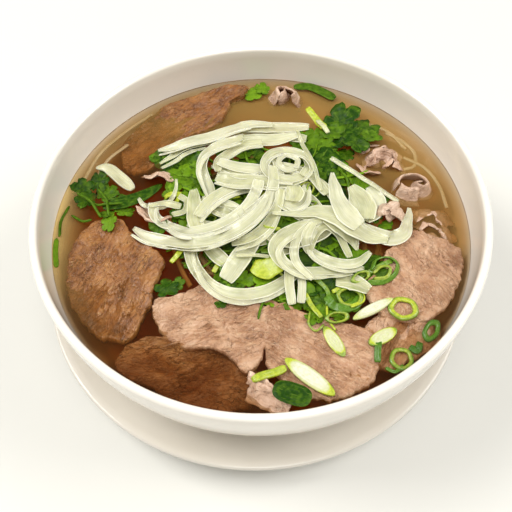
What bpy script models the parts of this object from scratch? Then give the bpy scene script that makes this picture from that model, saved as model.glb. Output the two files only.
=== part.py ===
"""Bowl of pho noodle soup on its underplate: ceramics, broth, noodles, beef, herbs and sliced onion.

Sizes are in millimetres and become metres when a mesh is made. +Z is up and -Y is the side that
faces the diner. The origin is on the table, under the middle of the underplate. Places of food are
given from the bowl's axis, and heights of food from the broth's level.
"""

import math

import bmesh
import bpy
import numpy as np
from mathutils import Matrix, Vector
from mathutils.bvhtree import BVHTree

MM = 0.001
AROUND = 44

# Underplate: a shallow saucer on a foot ring.
PLATE_R = 113.4
PLATE_WELL_R = 60.0
PLATE_WELL_Z = 7.5
PLATE_RIM_Z = 23.0
PLATE_FOOT_R = 62.0
PLATE_FOOT_H = 3.0
PLATE_FOOT_WIDTH = 4.0
PLATE_THICK = 4.2
PLATE_FLARE = 1.35

# Bowl: its axis stands a little off the middle of the underplate.
BOWL_X, BOWL_Y = 2.8, -3.0
BOWL_Z = PLATE_WELL_Z + 0.3
RIM_Z = BOWL_Z + 78.5
OUTER_R, OUTER_DEPTH = 110.0, 74.0
INNER_R, INNER_DEPTH = 106.0, 68.5
WALL_ROUND, WALL_DROP = 0.548, 0.909
LIP_R = 2.0
FOOT_R, FOOT_WIDTH, FOOT_H = 49.0, 5.0, 5.0

# Broth: GAP is the clearance that touching meshes keep.
LEVEL_BELOW_RIM = 21.3
LEVEL = RIM_Z - LEVEL_BELOW_RIM
GAP = 0.35
INSIDE_R = 101.0

CERAMIC = (0.85, 0.82, 0.77)
BROTH = (0.50, 0.24, 0.06)
NOODLE = (0.78, 0.74, 0.60)
BEEF = (0.42, 0.19, 0.12)
GREEN = (0.10, 0.32, 0.03)
DARK_GREEN = (0.03, 0.14, 0.02)
PALE_GREEN = (0.52, 0.66, 0.25)
ONION = (0.80, 0.80, 0.62)

for old in list(bpy.data.objects):
    bpy.data.objects.remove(old, do_unlink=True)

soup = bpy.data.collections.new("pho_noodle_soup")
cutting = bpy.data.collections.new("cutters")
bpy.context.scene.collection.children.link(soup)
bpy.context.scene.collection.children.link(cutting)

surfaces = []
cutters = []


def place(name, mesh, at, colour, roughness):
    """A named object with its own Principled material, standing at this point in millimetres."""
    paint = bpy.data.materials.new(name)
    paint.use_nodes = True
    shader = paint.node_tree.nodes["Principled BSDF"]
    shader.inputs["Base Color"].default_value = (*colour, 1.0)
    shader.inputs["Roughness"].default_value = roughness
    mesh.materials.clear()
    mesh.materials.append(paint)
    mesh.shade_smooth()
    made = bpy.data.objects.new(name, mesh)
    made.location = Vector(at) * MM
    soup.objects.link(made)
    return made


def place_cutter(name, mesh, at):
    """A hidden object that the broth is cut with."""
    made = bpy.data.objects.new("cut_" + name, mesh)
    made.location = Vector(at) * MM
    made.hide_render = True
    made.display_type = "WIRE"
    cutting.objects.link(made)
    cutters.append(made)


def turned(name, profile, x, y, colour, roughness):
    """A profile of (radius, height) points, from axis to axis down its outer side, and a Screw."""
    mesh = bpy.data.meshes.new(name)
    points = [(radius * MM, 0.0, height * MM) for radius, height in profile]
    mesh.from_pydata(points, [(k, k + 1) for k in range(len(points) - 1)], [])
    made = place(name, mesh, (x, y, 0.0), colour, roughness)
    screw = made.modifiers.new("turn", "SCREW")
    screw.steps = screw.render_steps = AROUND
    screw.use_merge_vertices = True
    screw.merge_threshold = 1e-5
    screw.use_smooth_shade = True
    return made


def wall_curve(radius, depth, angle):
    """A point of a bowl wall: angle 0 is at the rim, a right angle at the middle of the bottom."""
    out = radius * max(0.0, math.cos(angle)) ** WALL_ROUND
    return (out if angle < math.pi / 2 else 0.0), RIM_Z - depth * math.sin(angle) ** WALL_DROP


def floor_height(radius):
    """Height of the bowl's inner surface at this distance from its axis."""
    share = min(1.0, radius / INNER_R)
    return RIM_Z - INNER_DEPTH * (1 - share ** (2 / WALL_ROUND)) ** (WALL_DROP / 2)


def wetted_angles():
    """Where both the inner wall and the broth have a ring of points, from the level down."""
    start = math.asin((LEVEL_BELOW_RIM / INNER_DEPTH) ** (1 / WALL_DROP))
    return np.linspace(start, math.pi / 2, 6)


def make_underplate():
    rise = PLATE_RIM_Z - PLATE_WELL_Z
    profile = [(0.0, PLATE_WELL_Z)]
    for s in (0.0, 0.35, 0.7, 1.0):
        radius = PLATE_WELL_R + (PLATE_R - 1.5 - PLATE_WELL_R) * s
        profile.append((radius, PLATE_WELL_Z + rise * s**PLATE_FLARE))
    profile += [(PLATE_R, PLATE_RIM_Z - 0.6), (PLATE_R - 0.4, PLATE_RIM_Z - 2.0)]
    for s in (0.7, 0.35):
        radius = PLATE_FOOT_R + 2 + (PLATE_R - 4 - PLATE_FOOT_R) * s
        profile.append((radius, PLATE_WELL_Z - PLATE_THICK + rise * s**PLATE_FLARE))
    inside_foot = PLATE_FOOT_R - PLATE_FOOT_WIDTH
    profile += [(PLATE_FOOT_R + 1, PLATE_FOOT_H), (PLATE_FOOT_R, 0.0), (inside_foot, 0.0)]
    profile += [(inside_foot - 1, PLATE_FOOT_H), (0.0, PLATE_FOOT_H)]
    turned("underplate", profile, 0.0, 0.0, CERAMIC, 0.2)


def make_bowl():
    profile = [wall_curve(INNER_R, INNER_DEPTH, a) for a in wetted_angles()[::-1]]
    profile.append(wall_curve(INNER_R, INNER_DEPTH, 0.12))
    lip_x = (OUTER_R + INNER_R) / 2
    for a in (150, 90, 30):
        side, up = math.cos(math.radians(a)), math.sin(math.radians(a))
        profile.append((lip_x + LIP_R * side, RIM_Z - LIP_R + LIP_R * up))
    profile += [wall_curve(OUTER_R, OUTER_DEPTH, a) for a in np.linspace(0.28, 1.38, 6)]
    inside_foot = FOOT_R - FOOT_WIDTH
    profile += [(FOOT_R, BOWL_Z + FOOT_H + 0.5), (FOOT_R - 1.5, BOWL_Z), (inside_foot, BOWL_Z)]
    profile += [(inside_foot - 1, BOWL_Z + FOOT_H), (0.0, BOWL_Z + FOOT_H)]
    turned("bowl", profile, BOWL_X, BOWL_Y, CERAMIC, 0.15)


def make_broth():
    """The liquid up to its level, cut round everything that dips into it."""
    profile = [(0.0, LEVEL)]
    for a in wetted_angles():
        profile.append(wall_curve(INNER_R - GAP, INNER_DEPTH - GAP, a))
    profile[1] = (profile[1][0], LEVEL)
    made = turned("broth", profile, BOWL_X, BOWL_Y, BROTH, 0.05)
    for cutter in cutters:
        cut = made.modifiers.new(cutter.name, "BOOLEAN")
        cut.solver = "EXACT"
        cut.object = cutter


def top_under(x, y, reach):
    """The highest surface already placed within this reach of a point, all in millimetres."""
    best = -1.0
    for share in (0.0, 0.5, 1.0):
        for k in range(8 if share else 1):
            a = math.pi * (k + share) / 4
            spot = (x + reach * share * math.cos(a), y + reach * share * math.sin(a), 300.0)
            for tree in surfaces:
                hit = tree.ray_cast(Vector(spot) * MM, Vector((0.0, 0.0, -1.0)))[0]
                if hit is not None:
                    best = max(best, hit.z / MM)
    return best


def remember(made):
    """Notes a solid's surface, so that what is made later lies on it."""
    shape = bmesh.new()
    shape.from_mesh(made.data)
    shape.transform(Matrix.Translation(made.location))
    surfaces.append(BVHTree.FromBMesh(shape))
    shape.free()


class Piece:
    """A ball pressed flat and laid over whatever is already in the bowl.

    x and y give its middle, a and b its half sizes and turn the bearing of a. low is how far its
    underside lies above the level where nothing holds it up, and tilt how that changes along x and
    y. lobes are (bearing, further reach, half width in degrees). dome makes it rise in the middle,
    and deep makes it a bed that reaches this far down.
    """

    def __init__(self, name, x, y, a, b, turn, thick, low, seed, colour=BEEF, square=2.4,
                 ragged=0.05, lobes=(), dome=0.0, tilt=(0.0, 0.0), ruffle=0.8, folds=2.5,
                 sectors=20, bands=6, reach=6.5, gap=GAP, deep=0.0):
        self.name, self.x, self.y, self.a, self.b = name, x, y, a, b
        self.turn, self.thick, self.low, self.colour = turn, thick, low, colour
        self.square, self.ragged, self.lobes, self.dome = square, ragged, lobes, dome
        self.tilt, self.ruffle, self.folds = tilt, ruffle, folds
        self.sectors, self.bands, self.reach, self.gap = sectors, bands, reach, gap
        self.deep = deep
        draw = np.random.default_rng(seed)
        self.phases = draw.uniform(0, 2 * math.pi, 6)
        self.sizes = draw.uniform(0.6, 1.0, 6)

    def edge(self, bearing):
        """Distance from the middle to the edge at this bearing in radians."""
        t = bearing - math.radians(self.turn)
        c, s = abs(math.cos(t)) / self.a, abs(math.sin(t)) / self.b
        out = (c**self.square + s**self.square) ** (-1 / self.square)
        for k, (phase, size) in enumerate(zip(self.phases, self.sizes)):
            out *= 1 + self.ragged * size / (1 + 0.35 * k) * math.sin((k + 2) * t + phase)
        for at, further, width in self.lobes:
            off = (math.degrees(bearing) - at + 180) % 360 - 180
            out += further * math.exp(-((off / width) ** 2))
        return out

    def spot(self, bearing, share, grow):
        """A point from the bowl's axis at this share of the way to the edge, inside the wall."""
        r = (self.edge(bearing) + grow) * share
        x, y = self.x + r * math.cos(bearing), self.y + r * math.sin(bearing)
        shrink = min(1.0, (INSIDE_R + grow) / math.hypot(x, y))
        return x * shrink, y * shrink

    def ripple(self, x, y):
        """The uneven part of the surface, from 0 to ruffle."""
        total = 0.0
        for k in range(3):
            along = (x - self.x) * math.cos(self.phases[k]) + (y - self.y) * math.sin(self.phases[k])
            waves = 3 * self.folds * (1 + 0.7 * k) / max(self.a, self.b)
            total += math.sin(waves * along + self.phases[3 + k])
        return self.ruffle * (total / 3 + 1) / 2

    def heights(self, x, y, share):
        """Underside and top at one point, above the table."""
        under = LEVEL + self.low
        under += self.tilt[0] * (x - self.x) + self.tilt[1] * (y - self.y)
        if self.deep:
            base = max(LEVEL - self.deep, floor_height(math.hypot(x, y)) + 4.0)
            top = under + self.thick + self.ripple(x, y) - (self.thick + 26) * share**7
            return base, max(top, base + 5.0)
        base = max(under, top_under(x + BOWL_X, y + BOWL_Y, self.reach) + self.gap)
        swell = 0.4 + 0.6 * (1 - share**6)
        top = base + self.thick * swell + self.ripple(x, y) * (1 - share**4)
        return base, top + self.dome * (1 - share**2) ** 1.2

    def ball(self):
        """A sphere pressed to the piece's shape."""
        shape = bmesh.new()
        bmesh.ops.create_uvsphere(
            shape, u_segments=self.sectors, v_segments=self.bands, radius=1.0
        )
        for vert in shape.verts:
            share = min(1.0, math.hypot(vert.co.x, vert.co.y))
            x, y = self.spot(math.atan2(vert.co.y, vert.co.x), share, 0.0)
            base, top = self.heights(x, y, share)
            if vert.co.z > 0.01:
                height = top
            elif vert.co.z < -0.01:
                height = base
            else:
                height = (base + top) / 2
            vert.co = Vector((x - self.x, y - self.y, height - LEVEL)) * MM
        mesh = bpy.data.meshes.new(self.name)
        shape.to_mesh(mesh)
        shape.free()
        return mesh

    def pocket(self, floor):
        """An upright cutter as wide as the piece and its gap, from this height upwards."""
        shape = bmesh.new()
        bmesh.ops.create_cone(
            shape, cap_ends=True, segments=self.sectors, radius1=1.0, radius2=1.0, depth=2.0
        )
        for vert in shape.verts:
            x, y = self.spot(math.atan2(vert.co.y, vert.co.x), 1.0, GAP)
            height = 20.0 if vert.co.z > 0 else floor - LEVEL
            vert.co = Vector((x - self.x, y - self.y, height)) * MM
        mesh = bpy.data.meshes.new("cut_" + self.name)
        shape.to_mesh(mesh)
        shape.free()
        return mesh

    def make(self):
        """Adds the solid and, where it dips into the broth, its cutter."""
        at = (BOWL_X + self.x, BOWL_Y + self.y, LEVEL)
        made = place(self.name, self.ball(), at, self.colour, 0.5)
        lowest = LEVEL + min(vert.co.z for vert in made.data.vertices) / MM
        if self.deep:
            swollen = made.data.copy()
            for vert in swollen.vertices:
                vert.co += vert.normal * (3 * GAP * MM)
            place_cutter(self.name, swollen, at)
        elif lowest < LEVEL + GAP:
            place_cutter(self.name, self.pocket(lowest - GAP), at)
        remember(made)


def make_ring(name, x, y, radius, band, squash, turn, colour):
    """A cut ring of scallion, lying flat on what is under it."""
    x, y = x + BOWL_X, y + BOWL_Y
    lift = LEVEL
    for k in range(12):
        a = math.pi * k / 6
        lift = max(lift, top_under(x + radius * math.cos(a), y + radius * math.sin(a), 2.5))
    bpy.ops.mesh.primitive_torus_add(
        major_segments=12, minor_segments=4, major_radius=radius * MM, minor_radius=band * MM
    )
    torus = bpy.context.object
    mesh = torus.data
    bpy.data.objects.remove(torus)
    mesh.transform(Matrix.Rotation(math.radians(turn), 4, "Z") @ Matrix.Diagonal((1, squash, 1.3, 1)))
    made = place(name, mesh, (x, y, lift + GAP + 1.3 * band), colour, 0.3)
    remember(made)


def make_noodles():
    """The bed of noodles, which breaks the surface in the middle and towards the far right."""
    Piece("noodles", 8, 8, 46, 42, 0, 1.4, -0.4, 11, NOODLE, ragged=0.03, ruffle=1.2, folds=6,
          lobes=((40, 34, 24), (215, 6, 30)), sectors=30, bands=10, deep=36.0).make()


def make_slices():
    """The large slices of brisket, lowest first."""
    Piece("beef_slice_front_sunk", -34, -77, 35, 16, -26, 3.0, -3.6, 21, tilt=(0.02, 0.11)).make()
    Piece("beef_slice_right_sunk", 60, -65, 19, 12, 20, 2.6, -3.4, 22, tilt=(-0.06, 0.05),
          sectors=18).make()
    Piece("beef_slice_back_left", -40, 66, 46, 22, 42, 3.0, -2.6, 23, tilt=(0.05, 0.03),
          sectors=24).make()
    Piece("beef_slice_left", -71, -28, 34, 21, -78, 3.4, -2.4, 24, tilt=(0.05, 0.01),
          square=2.7).make()
    Piece("beef_slice_front_left", -21, -53, 30, 16, -12, 3.2, -1.6, 25, tilt=(0.03, 0.0),
          square=2.7).make()
    Piece("beef_slice_front_right", 28, -71, 27, 25, 12, 3.2, -1.8, 26, square=2.8).make()
    Piece("beef_slice_right", 75, -31, 25, 21, -62, 3.2, -1.6, 27, ragged=0.07).make()


def make_scraps():
    """Thin curls of rare beef and torn ends."""
    small = {"ragged": 0.12, "ruffle": 2.2, "sectors": 14, "reach": 3.0}
    Piece("beef_scrap_front", 2, -93, 11, 5, -35, 3.0, -1.6, 31, **small).make()
    Piece("beef_curl_back", 16, 88, 11, 7, 10, 3.0, -1.8, 32, dome=2.5, **small).make()
    Piece("beef_curl_far_right", 67, 42, 11, 9, -20, 3.0, -1.8, 33, **small).make()
    Piece("beef_curl_right_sunk", 87, 0, 13, 9, -15, 2.8, -2.6, 34, **small).make()
    Piece("beef_roll_right", 79, 21, 11, 7.5, -8, 4.5, -1.2, 35, dome=2.0, **small).make()
    Piece("beef_bit_left", -51, 29, 9, 6, -20, 3.0, -1.0, 36, **small).make()
    Piece("beef_bit_under_onion", -57, 6, 7, 6, 60, 2.6, -1.2, 37, **small).make()


def make_greens():
    """The heap of herbs under the onion, cilantro at the far left, and loose leaves."""
    Piece("herb_heap", 3, 8, 46, 44, 0, 2.6, 0.6, 41, GREEN, dome=2.6, ruffle=2.4, folds=7,
          lobes=((47, 26, 17), (148, 14, 14), (283, 20, 22), (318, 22, 18)), sectors=36,
          bands=10, reach=7.0, gap=0.6).make()
    Piece("cilantro_clump_left", -85, 17, 14, 9, 12, 3.0, -1.4, 42, GREEN, ragged=0.12,
          ruffle=3.0, folds=5, lobes=((300, 9, 20),), sectors=20, reach=3.0).make()
    leaf = {"bands": 4, "reach": 3.0, "sectors": 16}
    Piece("leaf_back", -1, 94, 7, 5.5, 20, 1.4, 0.4, 43, GREEN, ragged=0.16, **leaf).make()
    Piece("blade_back", 30, 94, 10, 2.6, -12, 1.2, 0.4, 44, GREEN, **leaf).make()
    Piece("leaf_left", -45, -36, 6.5, 4, 15, 1.2, 0.4, 45, DARK_GREEN, ragged=0.12, bands=4,
          reach=4.0, sectors=16).make()
    Piece("leaf_front", 14, -92, 9, 5, -14, 1.2, 0.4, 46, DARK_GREEN, **leaf).make()


def make_cut_vegetables():
    """Slanted slices and rings of scallion, and one loose piece of onion."""
    cut = {"ragged": 0.02, "ruffle": 0.3, "sectors": 14, "bands": 4, "reach": 3.0}
    Piece("scallion_slice_front", 18, -84, 13.5, 3.6, -39, 2.2, 0.4, 51, PALE_GREEN, **cut).make()
    Piece("scallion_strip_front", 3, -82, 9, 2.0, 8, 1.6, 0.4, 52, GREEN, **cut).make()
    Piece("scallion_slice_right", 48, -63, 8.5, 4.0, 24, 2.0, 0.4, 53, PALE_GREEN, **cut).make()
    Piece("scallion_slice_white", 51, -47, 12, 2.8, 18, 2.2, 0.4, 54, ONION, **cut).make()
    Piece("onion_piece_left", -74, 31, 13, 4.0, -38, 2.4, -0.8, 55, ONION, **cut).make()
    make_ring("scallion_ring_right", 65, -48, 5.6, 0.9, 0.95, 10, PALE_GREEN)
    make_ring("scallion_ring_slant", 32, -65, 7.4, 0.8, 0.45, -62, PALE_GREEN)
    make_ring("scallion_ring_edge", 76, -59, 5.8, 0.9, 0.8, 35, DARK_GREEN)
    make_ring("scallion_ring_low", 61, -73, 5.0, 0.8, 0.7, 20, GREEN)


def make_onion():
    """The heap of thin onion strips over the middle of everything."""
    Piece("onion_heap", 3, 12, 42, 38, 0, 5.0, 2.0, 61, ONION, ragged=0.03, dome=3.6,
          lobes=((196, 28, 9), (162, 12, 9), (95, 16, 26), (347, 30, 15), (281, 20, 8),
                 (238, 8, 18), (20, 14, 14)),
          ruffle=3.0, folds=9, sectors=44, bands=10, reach=7.5, gap=0.9).make()


make_underplate()
make_bowl()
make_noodles()
make_slices()
make_scraps()
make_greens()
make_cut_vegetables()
make_onion()
make_broth()
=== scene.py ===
"""Looks of a bowl of pho noodle soup on its underplate.

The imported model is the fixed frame. Food is laid in the bowl from the bottom up on a height map, so
that each thing rests on what is under it. Lengths are in millimetres until a mesh is made. Places of
food are (x, y) from the bowl's axis, and heights of food are from the broth's level.
"""

import math
import random

import bpy
import numpy as np
from mathutils import Matrix, Vector, noise


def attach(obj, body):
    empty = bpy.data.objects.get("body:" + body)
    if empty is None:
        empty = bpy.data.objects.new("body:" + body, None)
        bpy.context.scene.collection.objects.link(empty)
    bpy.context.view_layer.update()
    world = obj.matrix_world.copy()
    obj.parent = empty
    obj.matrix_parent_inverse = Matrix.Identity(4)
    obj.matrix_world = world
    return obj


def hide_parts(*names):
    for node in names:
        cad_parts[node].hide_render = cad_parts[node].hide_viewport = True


MM = 0.001
AXIS = np.array((2.8, -3.0, 65.0))

# Ceramics, as the frame's bowl and underplate have them.
AROUND = 192
PLATE_R = 113.4
PLATE_WELL_R = 60.0
PLATE_WELL_Z = 7.5
PLATE_RIM_Z = 23.0
PLATE_FOOT_R = 62.0
PLATE_FOOT_H = 3.0
PLATE_FOOT_WIDTH = 4.0
PLATE_THICK = 4.2
PLATE_FLARE = 1.35
BOWL_Z = 7.8
RIM_Z = 86.3
OUTER_R, OUTER_DEPTH = 110.0, 74.0
INNER_R, INNER_DEPTH = 106.0, 68.5
WALL_ROUND, WALL_DROP = 0.548, 0.909
LIP_R = 2.0
FOOT_R, FOOT_WIDTH, FOOT_H = 49.0, 5.0, 5.0
LEVEL_BELOW_RIM = 21.3

# Camera, from the middle of the bowl's rim.
CAMERA_FROM_RIM = (0.0, -206.4, 267.4)
FIELD_OF_VIEW = 40.0
PITCH, YAW, ROLL = -4.58, -0.40, -1.23

# The top of the onion is laid out on this plane, as the camera sees it.
HEAP_PLANE = 14.3
# Over this height a heap settles: each strip rises only by this share of what is under it.
CROWN, SETTLED = 8.0, 0.82
SIGHT_SLOPE = -CAMERA_FROM_RIM[1] / CAMERA_FROM_RIM[2]
# Leaves and onion float this high where nothing is under them.
FLOAT = -0.4

# Food, each thing's width and thickness or thickness alone.
LEAF_THICK = 0.28
NOODLE_SIZE = (2.8, 1.2)
THIN_NOODLE_SIZE = (1.9, 1.1)
ONION_THICK, THIN_ONION_THICK = 1.0, 0.9
SCALLION_THICK = 0.9
# How many there are of what is strewn at random.
NOODLE_COUNT = 64
LEAF_COUNT = 70
STEM_COUNT = 60
RING_COUNT = 26
ONION_COUNT = 9

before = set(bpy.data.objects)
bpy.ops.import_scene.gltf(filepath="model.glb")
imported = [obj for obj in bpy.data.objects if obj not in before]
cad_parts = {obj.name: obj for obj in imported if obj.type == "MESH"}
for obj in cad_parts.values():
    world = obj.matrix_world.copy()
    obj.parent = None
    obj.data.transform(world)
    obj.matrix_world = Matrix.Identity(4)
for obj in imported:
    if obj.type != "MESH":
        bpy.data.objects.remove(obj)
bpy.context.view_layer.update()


# ---------------------------------------------------------------- small mathematics


def smooth_step(low, high, value):
    share = np.clip((np.asarray(value, float) - low) / (high - low), 0, 1)
    return share * share * (3 - 2 * share)


def curve_through(points, spacing=1.2, closed=False):
    """Points about this far apart on a Catmull-Rom curve through these."""
    p = np.asarray(points, float)
    if closed:
        p = np.vstack([p[-1:], p, p[:2]])
    else:
        p = np.vstack([2 * p[:1] - p[1:2], p, 2 * p[-1:] - p[-2:-1]])
    found = []
    for k in range(1, len(p) - 2):
        a, b, c, d = p[k - 1], p[k], p[k + 1], p[k + 2]
        steps = max(2, int(np.linalg.norm(c - b) / spacing))
        t = (np.arange(steps) / steps)[:, None]
        found.append(
            0.5 * (2 * b + (c - a) * t + (2 * a - 5 * b + 4 * c - d) * t**2 + (3 * b - a - 3 * c + d) * t**3)
        )
    if not closed:
        found.append(p[-2:-1])
    return np.vstack(found)


def noise_at(points, size, seed):
    """Smooth noise from about -1 to 1 at each point, with features of this size in mm."""
    shift = Vector((seed * 17.3, seed * 5.1, seed * 2.7))
    return np.array([noise.noise(Vector(p) / size + shift) for p in points])


def softened(row, reach):
    """A row of numbers averaged over this many neighbours each way."""
    if reach < 1:
        return row
    padded = np.pad(row, reach, mode="edge")
    window = np.hanning(2 * reach + 3)[1:-1]
    return np.convolve(padded, window / window.sum(), mode="valid")


def floor_height(radius):
    """Height of the bowl's inner surface at this distance from its axis."""
    share = np.minimum(1.0, np.asarray(radius, float) / INNER_R)
    fall = INNER_DEPTH * (1 - share ** (2 / WALL_ROUND)) ** (WALL_DROP / 2)
    return LEVEL_BELOW_RIM - fall


def wall_curve(radius, depth, angle):
    """A point of a bowl wall: angle 0 is at the rim, a right angle at the middle of the bottom."""
    out = radius * max(0.0, math.cos(angle)) ** WALL_ROUND if angle < math.pi / 2 else 0.0
    return out, RIM_Z - depth * math.sin(angle) ** WALL_DROP


class Ground:
    """Height of what lies in the bowl so far, on a net of 1 mm."""

    REACH = 112

    def __init__(self, low):
        side = 2 * self.REACH + 1
        self.z = np.full((side, side), low, float)

    def cells(self, x, y):
        i = np.clip(np.round(x).astype(int) + self.REACH, 0, 2 * self.REACH)
        j = np.clip(np.round(y).astype(int) + self.REACH, 0, 2 * self.REACH)
        return i, j

    def under(self, x, y):
        return self.z[self.cells(np.asarray(x, float), np.asarray(y, float))]

    def afloat(self, x, y):
        return np.maximum(self.under(x, y), FLOAT)

    def raise_to(self, x, y, z):
        np.maximum.at(self.z, self.cells(np.asarray(x, float), np.asarray(y, float)), z)

    def heap_up(self, x, y, wide, deep, high, edge):
        """Raises the net to a low dome over an ellipse."""
        i, j = np.indices(self.z.shape) - self.REACH
        share = ((i - x) / wide) ** 2 + ((j - y) / deep) ** 2
        dome = np.where(share < 1, edge + (high - edge) * (1 - share), -99.0)
        self.z = np.maximum(self.z, dome)

    def blurred(self, reach):
        """The same net with each cell the mean of those round it, as a new Ground."""
        kernel = np.ones(2 * reach + 1) / (2 * reach + 1)
        afloat = np.maximum(self.z, FLOAT)
        made = Ground(0.0)
        made.z = afloat
        for axis in (0, 1):
            made.z = np.apply_along_axis(
                lambda r: np.convolve(np.pad(r, reach, "edge"), kernel, "valid"), axis, made.z
            )
        return made


ground = Ground(-12.0)


# ---------------------------------------------------------------- meshes


class Gathered:
    """Points and faces of many small things of one kind, made into one piece."""

    def __init__(self):
        self.points, self.faces, self.shades, self.grains = [], [], [], []
        self.count = 0

    def add(self, points, faces, shade, grain):
        points = np.asarray(points, float)
        self.points.append(points)
        self.faces += [[v + self.count for v in face] for face in faces]
        self.shades.append(np.broadcast_to(np.asarray(shade, float), len(points)))
        self.grains.append(np.asarray(grain, float))
        self.count += len(points)

    def make(self, name, material, stands_for=()):
        points = (np.vstack(self.points) + AXIS) * MM
        mesh = bpy.data.meshes.new(name)
        mesh.from_pydata(points.tolist(), [], self.faces)
        shade = mesh.attributes.new("shade", "FLOAT", "POINT")
        shade.data.foreach_set("value", np.concatenate(self.shades).astype(np.float32))
        grain = mesh.attributes.new("grain", "FLOAT_VECTOR", "POINT")
        grain.data.foreach_set("vector", np.vstack(self.grains).astype(np.float32).ravel())
        mesh.materials.append(material)
        mesh.shade_smooth()
        mesh.update()
        piece = bpy.data.objects.new(name, mesh)
        bpy.context.scene.collection.objects.link(piece)
        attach(piece, "root")
        if stands_for:
            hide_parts(*stands_for)
        return piece


def tube_faces(rows, sides):
    """Faces of a tube of rings of points, with a middle point at each end."""
    faces = []
    for i in range(rows - 1):
        for j in range(sides):
            k = (j + 1) % sides
            faces.append([i * sides + j, i * sides + k, (i + 1) * sides + k, (i + 1) * sides + j])
    first, last = rows * sides, rows * sides + 1
    for j in range(sides):
        k = (j + 1) % sides
        faces.append([first, k, j])
        faces.append([last, (rows - 1) * sides + j, (rows - 1) * sides + k])
    return faces


def turned_over(faces):
    """The same faces, looking the other way."""
    return [[face[0], *face[:0:-1]] for face in faces]


def disc_faces(rings, around):
    """Faces of a thin disc: rings of points and a middle one on top, and the same again below."""
    n, last = rings * around + 1, (rings - 1) * around
    faces = []
    for i in range(rings - 1):
        for k in range(around):
            m = (k + 1) % around
            quad = [i * around + k, (i + 1) * around + k, (i + 1) * around + m, i * around + m]
            faces += [quad, [n + v for v in reversed(quad)]]
    for k in range(around):
        m = (k + 1) % around
        faces += [[n - 1, k, m], [2 * n - 1, n + m, n + k], [last + k, n + last + k, n + last + m, last + m]]
    return faces


# A strip's section, as shares of half its width and half its thickness.
FLAT_SECTION = (
    (1, 0), (0.95, 0.7), (0.75, 1.0), (0.3, 0.86), (-0.3, 0.86), (-0.75, 1.0), (-0.95, 0.7),
    (-1, 0), (-0.95, -0.7), (-0.7, -1), (0, -1), (0.7, -1), (0.95, -0.7),
)


def round_section(sides, square):
    """A section between a circle, at square 1, and a box, at square 0."""
    found = []
    for j in range(sides):
        c, s = math.cos(2 * math.pi * j / sides), math.sin(2 * math.pi * j / sides)
        found.append((math.copysign(abs(c) ** square, c), math.copysign(abs(s) ** square, s)))
    return found


ONION_SECTION = (
    (1, 0.3), (0.98, 0.95), (0.9, 1.0), (0.8, 0.5), (0.4, 0.15), (0, 0.05), (-0.4, 0.15), (-0.8, 0.5),
    (-0.9, 1.0), (-0.98, 0.95), (-1, 0.3), (-0.96, -0.5), (-0.6, -0.8), (0, -1), (0.6, -0.8), (0.96, -0.5),
)
STEM = round_section(6, 1.0)
NOODLE_SECTION = round_section(8, 0.7)


def sweep(path, width, thick, across, section):
    """A ribbon or stem along a path: points, faces and grain (mm along, mm across, share across)."""
    n = len(path)
    ahead = np.gradient(path, axis=0)
    ahead /= np.linalg.norm(ahead, axis=1)[:, None] + 1e-9
    across = across - ahead * (across * ahead).sum(1)[:, None]
    across /= np.linalg.norm(across, axis=1)[:, None] + 1e-9
    up = np.cross(across, ahead)
    up *= np.sign(up[:, 2:3] + 1e-9)
    along = np.concatenate([[0], np.cumsum(np.linalg.norm(np.diff(path, axis=0), axis=1))])
    rings, grains = [], []
    for out, high in section:
        side, rise = out * width / 2, high * thick / 2
        rings.append(path + across * side[:, None] + up * rise[:, None])
        grains.append(np.stack([along, side, np.full(n, float(out))], 1))
    points = np.stack(rings, 1).reshape(-1, 3)
    grain = np.stack(grains, 1).reshape(-1, 3)
    ends = np.stack([path[0], path[-1]])
    end_grain = np.array([[along[0], 0, 0], [along[-1], 0, 0]])
    return np.vstack([points, ends]), tube_faces(n, len(section)), np.vstack([grain, end_grain])


def turned(name, profile, centre, material, node):
    """A turned piece of (radius, height) points, from the axis to the axis down its outer side."""
    rows = len(profile) - 2
    points = [(centre[0], centre[1], profile[0][1])]
    for radius, height in profile[1:-1]:
        for k in range(AROUND):
            a = 2 * math.pi * k / AROUND
            points.append((centre[0] + radius * math.cos(a), centre[1] + radius * math.sin(a), height))
    points.append((centre[0], centre[1], profile[-1][1]))
    faces = []
    for k in range(AROUND):
        m = (k + 1) % AROUND
        faces.append((0, 1 + k, 1 + m))
        for i in range(rows - 1):
            low, high = 1 + i * AROUND, 1 + (i + 1) * AROUND
            faces.append((low + m, low + k, high + k, high + m))
        last = 1 + (rows - 1) * AROUND
        faces.append((len(points) - 1, last + m, last + k))
    mesh = bpy.data.meshes.new(name)
    mesh.from_pydata([Vector(p) * MM for p in points], [], faces)
    mesh.materials.append(material)
    mesh.shade_smooth()
    mesh.update()
    piece = bpy.data.objects.new(name, mesh)
    bpy.context.scene.collection.objects.link(piece)
    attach(piece, "root")
    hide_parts(node)
    return piece


# ---------------------------------------------------------------- materials


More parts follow.
